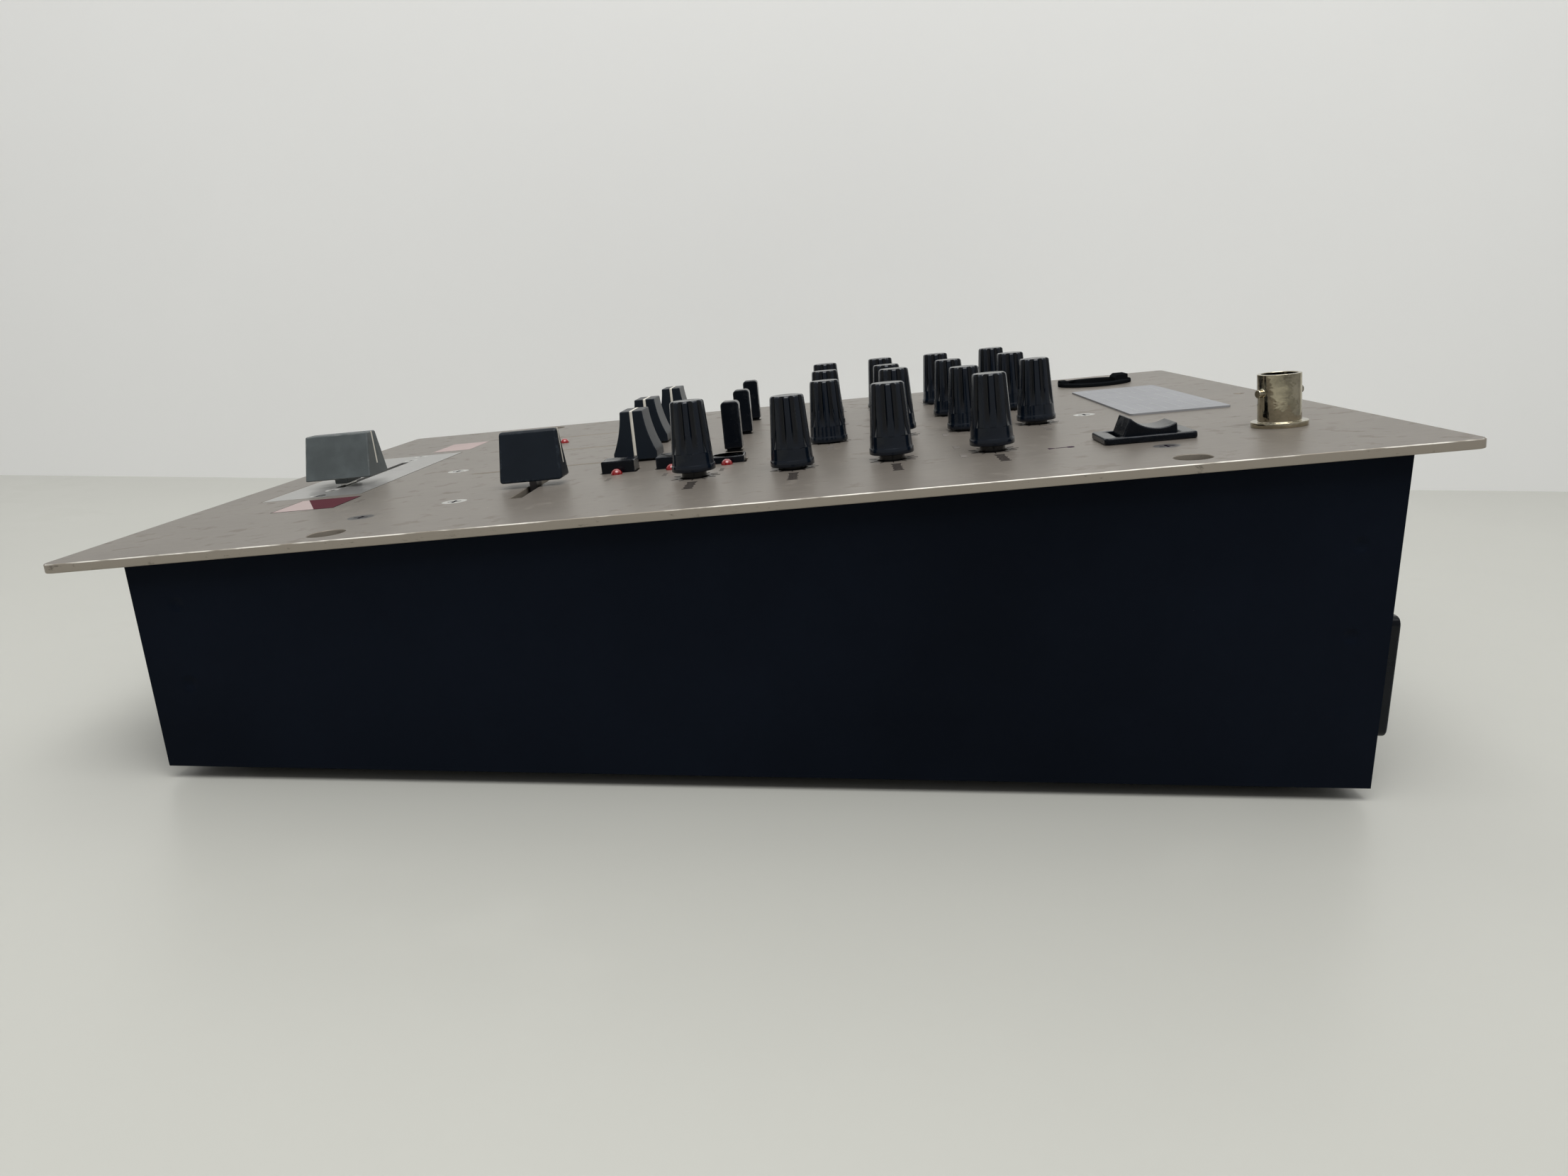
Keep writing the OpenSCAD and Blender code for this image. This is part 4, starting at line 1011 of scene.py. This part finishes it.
# ---- Sub-assemblies ----
@dataclass
class Case:
    """The sheet steel case with its folded edges, rubber feet, screws and everything that stays inside it."""

    large_screws: tuple[Point, ...] = (
        (89.0, 58.0), (-89.0, 58.0), (89.0, 240.5), (-89.0, 240.5), (76.5, 76.0), (12.6, 57.1), (12.6, 238.3)
    )
    small_screws: tuple[Point, ...] = ((-41.5, 27.3), (-31.5, 27.3), (31.5, 27.3), (41.5, 27.3))
    large_span: float = 3.3
    small_span: float = 2.3
    slot_share: float = 0.22
    recess_sink: float = 0.04
    wall: float = 114.2
    wall_middle: float = 39.0
    paint_rise: float = 0.04
    fold_depth: float = 0.35
    fold_reach: float = 0.025
    dimple_radius: float = 2.1
    dimple_depth: float = 0.45
    dimple_steps: int = 32
    dimple_rings: tuple[float, ...] = (0.86, 0.72, 0.58, 0.44, 0.3, 0.16)
    rivets: tuple[Point, ...] = ((-120.3, 39.8), (-119.3, 22.1), (125.7, 55.7), (125.9, 36.5))
    side_outline: tuple[Point, ...] = ((-126.05, 3.1), (133.83, 3.1), (133.83, 74.38), (-130.45, 47.95))
    plain: tuple[tuple[str, Finish], ...] = (
        ("front_panel", CASE_PAINT), ("rear_panel", CASE_PAINT), ("case_rivets", CASE_PAINT),
        ("feet", RUBBER), ("case_screws", BLACK_STEEL), ("silver_screws", ZINC), ("pot_bodies", POT_CASE),
        ("fader_bodies", FADER_CASE), ("button_bodies", SWITCH_CASE), ("toggle_bodies", SWITCH_CASE),
        ("main_board", BOARD), ("inner_brackets", ZINC), ("phono_jacks", PHONO),
        ("headphone_jack", SOCKET_BLACK), ("crossfader_plate", LIGHT_PLATE), ("label_panel", LABEL),
        ("lamp_socket_core", INSULATOR), ("mic_socket_core", SOCKET_BLACK), ("chassis_tray", CASE_PAINT),
    )

    def build(self) -> None:
        """Finishes the solids that keep their shape and lays the painted side walls and the painted shade in
        the screw recesses.
        """
        for node, finish in self.plain:
            dress(node, finish)
        dress("transformer", CORE, COPPER)
        for side in (-1.0, 1.0):
            self.side_skin(side)
        self.recesses(self.large_screws, self.large_span, "large_screw_recesses")
        self.recesses(self.small_screws, self.small_span, "small_screw_recesses")

    def recesses(self, places: Sequence[Point], span: float, name: str) -> None:
        """Lays painted shade in the cross recess of each screw in the plate.

        Args:
            places: Where the screws are on the plate.
            span: Length of each arm pair across the head.
            name: The piece's name.
        """
        spots = loose_points((x, b, -self.recess_sink) for x, b in places)
        mesh = grow(cross_recess(), spots, RECESS_SHADE, Span=span, Slot=span * self.slot_share)
        settle(grown_piece(mesh, name, PLATE.place()), Body.CASE.value, "black_steel")

    def side_skin(self, side: float) -> None:
        """Lays the painted outer face on one side wall, with a shallow dimple over each rivet.

        Args:
            side: 1 for the right side, -1 for the left.
        """
        shape = bmesh.new()
        corners = [shape.verts.new((y, z, 0.0)) for y, z in self.side_outline]
        edges = [shape.edges.new(pair) for pair in zip(corners, corners[1:] + corners[:1])]
        rims = [self.ring(shape, rivet, self.dimple_radius) for rivet in self.rivets]
        for rim in rims:
            edges += [shape.edges.new(pair) for pair in zip(rim, rim[1:] + rim[:1])]
        bmesh.ops.triangle_fill(shape, edges=edges, use_beauty=True)
        for rivet, rim in zip(self.rivets, rims):
            for share in self.dimple_rings:
                inner = self.ring(shape, rivet, self.dimple_radius * share)
                for quad in zip(rim, rim[1:] + rim[:1], inner[1:] + inner[:1], inner):
                    shape.faces.new(quad)
                rim = inner
            shape.faces.new(rim)
        self.fold(shape)
        bmesh.ops.recalc_face_normals(shape, faces=shape.faces)
        inwards = any(face.normal.z < -0.5 for face in shape.faces)
        if inwards != (side < 0):
            bmesh.ops.reverse_faces(shape, faces=shape.faces)
        out = side * (self.wall + self.paint_rise)
        flat = Matrix(((0.0, 0.0, side, out), (1, 0, 0, 0), (0, 1, 0, 0), (0, 0, 0, 1)))
        name = "right_side_skin" if side > 0 else "left_side_skin"
        piece = closed_piece(shape, name, Matrix.Scale(MM, 4) @ flat, sharp_angle=25.0)
        settle(piece, Body.CASE.value, "case_paint", finish=CASE_PAINT)

    def fold(self, shape: bmesh.types.BMesh) -> None:
        """Folds the skin's border back towards the wall and marks it as an edge, which the case paint
        lightens as wear and a painted highlight line.

        Args:
            shape: The skin.
        """
        layer = shape.faces.layers.float.new("edge")
        border = [edge for edge in shape.edges if edge.is_boundary]
        for part in bmesh.ops.extrude_edge_only(shape, edges=border)["geom"]:
            if isinstance(part, bmesh.types.BMVert):
                across = math.copysign(self.fold_reach, part.co.x)
                up = math.copysign(self.fold_reach, part.co.y - self.wall_middle)
                part.co += Vector((across, up, -self.fold_depth))
            elif isinstance(part, bmesh.types.BMFace):
                part[layer] = 1.0

    def ring(self, shape: bmesh.types.BMesh, middle: Point, radius: float) -> list[bmesh.types.BMVert]:
        """Adds one ring of a dimple's points, sunk as deep as its distance from the rivet asks.

        Args:
            shape: The skin.
            middle: Where the rivet is on the wall.
            radius: The ring's radius.

        Returns:
            The points.
        """
        depth = self.dimple_depth * (1 + math.cos(math.pi * radius / self.dimple_radius)) / 2
        turns = [math.tau * step / self.dimple_steps for step in range(self.dimple_steps)]
        y, z = middle
        return [shape.verts.new((y + radius * math.cos(a), z + radius * math.sin(a), -depth)) for a in turns]


def dress(node: str, *finishes: Finish) -> None:
    """Puts finishes on a solid that keeps its shape, one for each of its material slots."""
    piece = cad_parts[node]
    for number, slot in enumerate(piece.material_slots):
        slot.material = finishes[min(number, len(finishes) - 1)].material()
    LOG.info("%s keeps its solid: %d finish(es)", node, len(piece.material_slots))


@dataclass
class TopPlate:
    """The brushed top plate with its softened cut edge."""

    edge: float = 0.22
    screw_reach: float = 3.6
    wall_lift: float = 0.9
    rim_lift: Point = (0.2, 0.98)

    def build(self) -> None:
        """Rounds the plate's edges, lays a flat map on it and marks its cut faces, and its top rim for a
        painted highlight.
        """
        screws = [(x, b, self.screw_reach) for x, b in Case.large_screws]
        piece = soften("face_plate", "top_plate", PLATE.place(), self.edge, segments=2, crisp=screws)
        mesh = piece.data
        back = PLATE.place().inverted()
        layer = mesh.uv_layers.new(name="plate")
        for loop in mesh.loops:
            spot = back @ mesh.vertices[loop.vertex_index].co
            layer.data[loop.index].uv = (spot.y * MM, spot.x * MM)
        up = (PLATE.place().to_3x3() @ Vector((0, 0, 1))).normalized()
        edge = mesh.attributes["edge"].data
        rim = mesh.attributes.new("rim", "FLOAT", "FACE").data
        low, high = self.rim_lift
        for face in mesh.polygons:
            spot = back @ face.center
            inset = min(PLATE.width / 2 - abs(spot.x), spot.y, PLATE.length - spot.y)
            lift = face.normal.dot(up)
            # Faces on the top rounding of the outer edge carry the painted highlight.
            rim[face.index].value = float(inset < self.edge * 2 and low < lift < high)
            edge[face.index].value = float(abs(lift) < self.wall_lift)
        settle(piece, Body.CASE.value, "top_plate", ["face_plate"], TOP_PLATE)


@dataclass
class Knobs:
    """The sixteen fluted knobs on their shafts: one master column and three channel columns."""

    foot_radius: float = 5.3
    ring_step: float = 0.25
    ring_height: float = 1.6
    top_radius: float = 4.1
    height: float = 16.7
    rim: float = 0.7
    flute_foot: float = 4.4
    dish: float = 0.14
    foot_curve: tuple[Point, ...] = ((0.3, 0.0), (0.06, 0.12), (0.0, 0.35))
    ring_curve: tuple[Point, ...] = ((0.05, 0.18), (0.12, 0.03))
    ring_fillet: float = 0.02
    ring_clear: float = 0.15
    waist: float = 2.8
    flute_step: float = 0.02
    flute_levels: tuple[float, ...] = (4.3, 6.5, 9.0, 11.5, 14.0)
    rim_turns: tuple[int, ...] = (18, 36, 54, 72, 90)
    lip: Point = (0.35, 0.05)
    dish_radius: float = 2.0
    worn_rim: Point = (0.75, 0.4)
    shaft_foot: float = 8.0
    master: Spot = (70.5, 133.3, 23.8)
    channels: Point = (165.8, 19.1)
    seats: tuple[tuple[float, ...], ...] = (
        (1.6, 0.7, 1.5, 1.5), (0.3, 1.8, 0.6, 1.0), (0.5, 0.6, 0.4, 0.7), (0.4, 0.5, 0.3, 0.5)
    )

    @property
    def lean(self) -> float:
        """How much the body narrows for each millimetre of height."""
        fall = self.foot_radius - self.ring_step - self.top_radius
        return fall / (self.height - self.rim - self.ring_height)

    def body_radius(self, height: float) -> float:
        """Radius of the tapered body at a height."""
        return self.foot_radius - self.ring_step - (height - self.ring_height) * self.lean

    def section(self) -> list[Spot]:
        """Gives the knob's half section from the middle of its foot to the middle of its top."""
        ring, foot, inner = self.ring_height, self.foot_radius, self.top_radius - self.rim
        half = [(0.0, 0.0)] + [(foot - inwards, up) for inwards, up in self.foot_curve]
        half += [(foot - inwards, ring - down) for inwards, down in self.ring_curve]
        half.append((self.body_radius(ring) + self.ring_fillet, ring))
        start, step, straight = self.flute_foot, self.flute_step, self.height - self.rim
        levels = (ring + self.ring_clear, self.waist, start - step, start + step, *self.flute_levels)
        half += [(self.body_radius(level), level) for level in (*levels, straight)]
        for angle in map(math.radians, self.rim_turns):
            half.append((inner + self.rim * math.cos(angle), straight + self.rim * math.sin(angle)))
        inwards, down = self.lip
        half.append((inner - inwards, self.height - down))
        half += [(radius, self.height - self.dish) for radius in (self.dish_radius, 0.0)]
        return [(radius, 0.0, height) for radius, height in half]

    def centres(self) -> list[tuple[str, float, float, float]]:
        """Gives each knob's name, its place on the plate and the height of its foot."""
        columns = [("master_knob", *self.master)]
        for channel, x in enumerate(CHANNEL_X, 1):
            columns.append((numbered("channel", channel, "knob"), x, *self.channels))
        return [
            (numbered(stem, k + 1), across, start + k * step, seat)
            for (stem, across, start, step), seats in zip(columns, self.seats) for k, seat in enumerate(seats)
        ]

    def build(self) -> None:
        """Grows each knob and sets it on its shaft."""
        share, inwards = self.worn_rim
        sizes = {
            "Lean": self.lean, "Body_Radius": self.foot_radius - self.ring_step,
            "Ring_Height": self.ring_height, "Flute_Foot": self.flute_foot,
            "Rim_Height": self.height - self.rim * share, "Rim_Radius": self.top_radius - self.rim - inwards,
        }
        for name, x, b, seat in self.centres():
            foot = -self.shaft_foot - seat
            line = mesh_line(self.section())
            mesh = grow(fluted_knob(), line, KNOB_PLASTIC, Shaft_Foot=foot, **sizes)
            piece = grown_piece(mesh, numbered(name, "fluted"), PLATE.place(x, b, seat))
            settle(piece, name, "knob_plastic", [name])


@dataclass(frozen=True)
class Cap:
    """One fader cap: where it stands, how soft its edges are and where its painted line runs."""

    body: str
    node: str
    x: float
    b: float
    turn: float
    softness: float
    finish: Finish
    slot: str
    foot: float
    top: float
    low: float
    high: float
    line_from: float
    line_width: float = 0.8
    line_sunk: float = 0.03
    both_ends: bool = False

    def half(self, height: float) -> float:
        """Half the cap's width across its end faces at a height."""
        return self.foot + (self.top - self.foot) * (height - self.low) / (self.high - self.low)

    def build(self) -> None:
        """Softens the cap and lays its line up one end face, and on over the top if it has both ends."""
        place = PLATE.place(self.x, self.b, 0.0, self.turn)
        mould(self.node, self.body, place, self.softness, self.finish, self.slot)
        ends = ((self.line_from, self.line_from), (self.high, self.high - self.line_sunk))
        path = [(self.half(height) - self.line_sunk, 0.0, level) for height, level in ends]
        if self.both_ends:
            path += [(-x, 0.0, level) for x, _, level in reversed(path)]
        sizes = {"Width": self.line_width, "Corner_Radius": self.softness}
        mesh = grow(inlaid_line(), mesh_line(path), LINE_WHITE, **sizes)
        settle(grown_piece(mesh, numbered(self.node, "line"), place), self.body, self.slot)


@dataclass
class Faders:
    """The five slide faders' caps on their metal levers."""

    channel_b: tuple[float, ...] = (112.5, 109.5, 112.0)
    monitor: Cap = Cap(
        Body.MONITOR.value, "monitor_fader_cap", 59.65, 91.7, 90.0, softness=0.75, finish=CAP_PLASTIC,
        slot="knob_plastic", foot=7.95, top=7.35, low=1.5, high=13.9, line_from=5.2, line_width=0.7,
    )
    cross: Cap = Cap(
        Body.CROSS.value, "crossfader_cap", 20.0, 27.3, 90.0, softness=0.4, finish=WORN_CAP,
        slot="worn_cap", foot=9.35, top=9.0, low=2.3, high=14.5, line_from=5.4,
    )

    def channel(self, number: int) -> Cap:
        """Gives one channel's cap."""
        x, b = CHANNEL_X[number - 1], self.channel_b[number - 1]
        return Cap(
            numbered("channel_fader", number), numbered("channel_fader_cap", number), x, b, 0.0, softness=0.3,
            finish=CAP_PLASTIC, slot="knob_plastic", foot=6.6, top=6.15, low=0.5, high=13.9, line_from=1.8,
            both_ends=True,
        )

    def build(self) -> None:
        """Builds the caps and finishes the levers."""
        for number in range(1, 4):
            self.channel(number).build()
            dress(numbered("channel_fader_lever", number), ZINC)
        self.monitor.build()
        self.cross.build()
        dress("crossfader_lever", ZINC)
        dress("monitor_fader_lever", BLACK_STEEL)


@dataclass
class Switches:
    """The cue buttons, toggles and the rocker power switch."""

    button: Spot = (45.7, 111.0, 14.3)
    toggle_b: float = 139.3
    rocker: Point = (73.3, 239.4)
    light_x: float = 52.2
    spare_light: Point = (-45.0, 76.0)
    moving_soft: float = 0.35
    still_soft: float = 0.4

    def build(self) -> None:
        """Sets the lights beside the buttons and softens each switch's edges."""
        x, first, pitch = self.button
        lights = [(self.light_x, first + k * pitch, 0.0) for k in range(3)] + [(*self.spare_light, 0.0)]
        lenses = grown_piece(grow(domed_lens(), loose_points(lights), LED), "light_lenses", PLATE.place())
        settle(lenses, Body.CASE.value, "led_red", ["leds"])
        for k, across in enumerate(CHANNEL_X):
            name = numbered("cue_button", k + 1)
            self.soft(name, name, (x, first + k * pitch), self.moving_soft)
            name = numbered("toggle", k + 1)
            self.soft(name, name, (across, self.toggle_b), self.still_soft)
        self.soft("rocker", Body.ROCKER.value, self.rocker, self.moving_soft)
        self.soft("rocker_housing", Body.CASE.value, self.rocker, self.still_soft)

    def soft(self, node: str, body: str, spot: Point, width: float) -> None:
        """Softens one black plastic solid that stands on the plate."""
        mould(node, body, PLATE.place(*spot), width, BLACK_PLASTIC, "black_plastic")


@dataclass
class Sockets:
    """The lamp, microphone and mains sockets."""

    lamp: Point = (72.0, 271.0)
    microphone: Point = (-84.0, 262.0)

    def build(self) -> None:
        """Softens each socket's shell and the microphone socket's release tab."""
        here, case = PLATE.place(*self.microphone), Body.CASE.value
        for node, body, place, width, finish, slot in (
            ("lamp_socket_shell", case, PLATE.place(*self.lamp), 0.14, NICKEL, "lamp_metal"),
            ("mic_socket_shell", case, here, 0.25, SOCKET_BLACK, "socket_black"),
            ("mic_latch", Body.LATCH.value, here, 0.3, SOCKET_BLACK, "black_steel"),
            ("mains_inlet", case, Matrix.Scale(MM, 4), 0.5, BLACK_PLASTIC, "black_plastic"),
        ):
            mould(node, body, place, width, finish, slot, "finished")


@dataclass(frozen=True)
class Strokes:
    """One kind of stroke row: its piece's name, how many strokes, its length and height and its ink."""

    name: str
    count: int
    length: float
    height: float
    finish: Finish
    ink: float

    def build(self, places: Iterable[Spot]) -> None:
        """Prints a row of strokes at each place.

        Args:
            places: Where the rows' middles are on the plate.
        """
        sizes = {"Strokes": self.count, "Length": self.length, "Height": self.height, "Ink": self.ink}
        mesh = grow(legend_strokes(), loose_points(places), self.finish, **sizes)
        settle(grown_piece(mesh, self.name, PLATE.place()), Body.CASE.value, "label_grey")


@dataclass
class Prints:
    """The plain marks printed on the plate: ticks, stroke rows, colour patches and the label's rows."""

    ink: float = 0.05
    sunk: float = 0.02
    word_offset: Point = (14.6, 0.4)
    switch_words: tuple[Point, ...] = ((62.0, 110.5), (62.0, 124.8), (62.0, 139.1), (60.0, 46.0))
    label_start: Point = (-40.0, 251.5)
    label_pitch: Point = (26.0, 4.0)
    label_rise: float = 0.5
    grey_marks: tuple[float, ...] = (32.0, 59.8, 76.1)
    grey_row: float = 197.2
    grey_size: Point = (5.0, 1.4)
    near_patch: tuple[float, float, float, float] = (50.0, 27.0, 68.0, 42.5)
    patch_slant: Point = (28.7, 37.7)
    patch_border: float = 0.3
    far_patch: tuple[float, float, float, float] = (-76.0, 28.0, -52.0, 41.0)
    sign: Point = (77.0, 216.7)
    sign_wedge: Point = (1.0, 1.6)
    sign_bar: Spot = (3.0, 0.45, 2.6)
    sign_ring: tuple[float, float, int] = (5.1, 0.9, 20)

    def build(self, knobs: Knobs) -> None:
        """Prints the ticks, the rows of strokes and the patches.

        Args:
            knobs: The knobs that the ticks stand round.
        """
        level, (right, back) = self.ink / 2, self.word_offset
        spots = [(x, b, level) for _, x, b, _ in knobs.centres()]
        ticks = grow(dial_marks(), loose_points(spots), PRINT_DARK, Ink=self.ink)
        settle(grown_piece(ticks, "dial_marks", PLATE.place()), Body.CASE.value, "label_grey")
        words = [(x + right, b + back, level) for x, b, _ in spots]
        row = Strokes("master_legends", count=10, length=11.5, height=2.5, finish=PRINT_DARK, ink=self.ink)
        row.build(words[:4])
        row = Strokes("channel_legends", count=7, length=9.0, height=2.0, finish=PRINT_GREY, ink=self.ink)
        row.build(words[4:])
        small = [(x, b, level) for x, b in self.switch_words]
        row = Strokes("switch_legends", count=5, length=5.0, height=1.2, finish=PRINT_GREY, ink=self.ink)
        row.build(small)
        (x, b), (across, ahead) = self.label_start, self.label_pitch
        height = self.label_rise + level / 2
        rows = [(x + across * i, b + ahead * j, height) for i in range(3) for j in range(6)]
        row = Strokes("label_rows", count=14, length=19.0, height=1.1, finish=PRINT_PALE, ink=level)
        row.build(rows)
        for x in self.grey_marks:
            outline = rectangle(x, self.grey_row, *self.grey_size)
            self.patch(numbered("grey_mark", int(x)), outline, PRINT_GREY)
        self.patches()
        self.sign_mark()

    def patches(self) -> None:
        """Prints the outlined two-colour patch and the plain one across from it."""
        left, front, right, rear = self.near_patch
        low, high = self.patch_slant
        size = (right - left + self.patch_border * 2, rear - front + self.patch_border * 2)
        outline = rectangle((left + right) / 2, (front + rear) / 2, *size)
        self.patch("near_patch_outline", outline, PRINT_DARK, self.sunk)
        pink = [(left, front), (right, front), (right, high), (left, low)]
        self.patch("near_patch_pink", pink, PRINT_PINK)
        maroon = [(left, low), (right, high), (right, rear), (left, rear)]
        self.patch("near_patch_maroon", maroon, PRINT_MAROON)
        left, front, right, rear = self.far_patch
        self.patch("far_patch_pink", [(left, front), (right, front), (right, rear), (left, rear)], PRINT_PINK)

    def sign_mark(self) -> None:
        """Prints the small sign beside the power switch: a wedge, a line and a ring."""
        x, b = self.sign
        half, tall = self.sign_wedge
        self.patch("sign_wedge", [(x - half, b), (x + half, b), (x, b + tall)], PRINT_PURPLE)
        middle, width, depth = self.sign_bar
        self.patch("sign_line", rectangle(x, b + middle, width, depth), PRINT_PURPLE)
        middle, radius, corners = self.sign_ring
        turns = [math.tau * i / corners for i in range(corners)]
        ring = [(x + radius * math.cos(turn), b + middle + radius * math.sin(turn)) for turn in turns]
        self.patch("sign_ring", ring, PRINT_PURPLE)

    def patch(self, name: str, outline: Sequence[Point], finish: Finish, ink: float | None = None) -> None:
        """Prints one flat patch of colour.

        Args:
            name: The piece's name.
            outline: Its corners on the plate.
            finish: Its ink.
            ink: How far it stands off the plate, unless it is as thick as the other prints.
        """
        piece = closed_piece(slab(outline, -self.sunk, ink or self.ink), name, PLATE.place())
        settle(piece, Body.CASE.value, "label_grey", finish=finish)


def rectangle(x: float, b: float, width: float, depth: float) -> list[Point]:
    """Gives the corners of a rectangle round its middle."""
    return [(x + i * width / 2, b + j * depth / 2) for i, j in ((-1, -1), (1, -1), (1, 1), (-1, 1))]


@dataclass(frozen=True)
class Lamp:
    """One square lamp: where it hangs, what it points at, its size and its power."""

    name: str
    spot: Spot
    aim: Spot
    size: float
    watts: float

    def build(self) -> None:
        """Hangs the lamp and aims it."""
        data = bpy.data.lights.new(self.name, "AREA")
        data.shape, data.size, data.energy = "SQUARE", self.size, self.watts
        made = new_object(self.name, data)
        made.location = self.spot
        made.rotation_euler = (Vector(self.aim) - Vector(self.spot)).to_track_quat("-Z", "Y").to_euler()


@dataclass
class Studio:
    """The floor, the backdrop, the lamps and the camera."""

    wall_x: float = -0.33
    reach: float = 4.0
    sky: float = 0.31
    lens: float = 27.081
    camera_spot: Spot = (0.352086, 0.017437, 0.102889)
    camera_axes: tuple[Spot, ...] = (
        (-0.0367, 0.9993, 0.0052), (-0.2356, -0.0137, 0.9718), (0.9712, 0.0345, 0.2359)
    )
    floor: Finish = Finish(
        "pale_floor", paint(186, 186, 179), roughness=0.4, drift=0.02, drift_scale=3.0, rub=0.04,
        skin_depth=0.000004,
    )
    backdrop: Finish = Finish(
        "pale_wall", paint(238, 238, 236), roughness=0.8, drift=0.012, drift_scale=2.0, rub=0.05,
        skin_depth=0.00002,
    )
    lamps: tuple[Lamp, ...] = (
        Lamp("overhead_lamp", (0.3, 0.15, 1.5), (0.05, 0.0, 0.0), 1.5, 9.6),
        Lamp("wall_lamp", (0.45, 0.0, 1.2), (-0.33, 0.0, 0.45), 0.9, 9.9),
    )

    def build(self) -> None:
        """Sets up everything that isn't part of the mixer."""
        r, x = self.reach, self.wall_x
        self.surface("floor", [(x, -r, 0), (r, -r, 0), (r, r, 0), (x, r, 0)], self.floor)
        self.surface("wall", [(x, -r, 0), (x, r, 0), (x, r, r), (x, -r, r)], self.backdrop)
        world = bpy.data.worlds.new("soft_room")
        bpy.context.scene.world = world
        world.use_nodes = True
        back = world.node_tree.nodes["Background"]
        back.inputs[0].default_value = (1.0, 1.0, 1.0, 1.0)
        back.inputs[1].default_value = self.sky
        for lamp in self.lamps:
            lamp.build()
        self.build_camera()
        bpy.context.scene.view_settings.view_transform = "Standard"

    def surface(self, name: str, corners: Sequence[Spot], finish: Finish) -> None:
        """Adds one flat stage surface.

        Args:
            name: Its name.
            corners: Its four corners, in metres.
            finish: Its finish.
        """
        mesh = bpy.data.meshes.new(name)
        mesh.from_pydata(corners, [], [(0, 1, 2, 3)])
        mesh.materials.append(finish.material())
        new_object(name, mesh)

    def build_camera(self) -> None:
        """Stands the camera at the mixer's right side, looking slightly down."""
        data = bpy.data.cameras.new("camera")
        data.sensor_fit, data.sensor_width, data.lens = "HORIZONTAL", 36.0, self.lens
        data.clip_start, data.clip_end = 0.01, 50.0
        made = new_object("camera", data)
        turn = Matrix(self.camera_axes).transposed().to_4x4()
        made.matrix_world = Matrix.Translation(self.camera_spot) @ turn
        bpy.context.scene.camera = made


def main() -> None:
    """Builds the mixer's looks in order."""
    logging.basicConfig(level=logging.INFO, format="%(name)s: %(message)s")
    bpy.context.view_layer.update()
    knobs = Knobs()
    for part in (Case(), TopPlate(), knobs, Faders(), Switches(), Sockets()):
        LOG.info("building %s", type(part).__name__)
        part.build()
    Prints().build(knobs)
    Studio().build()


if __name__ == "__main__":
    main()
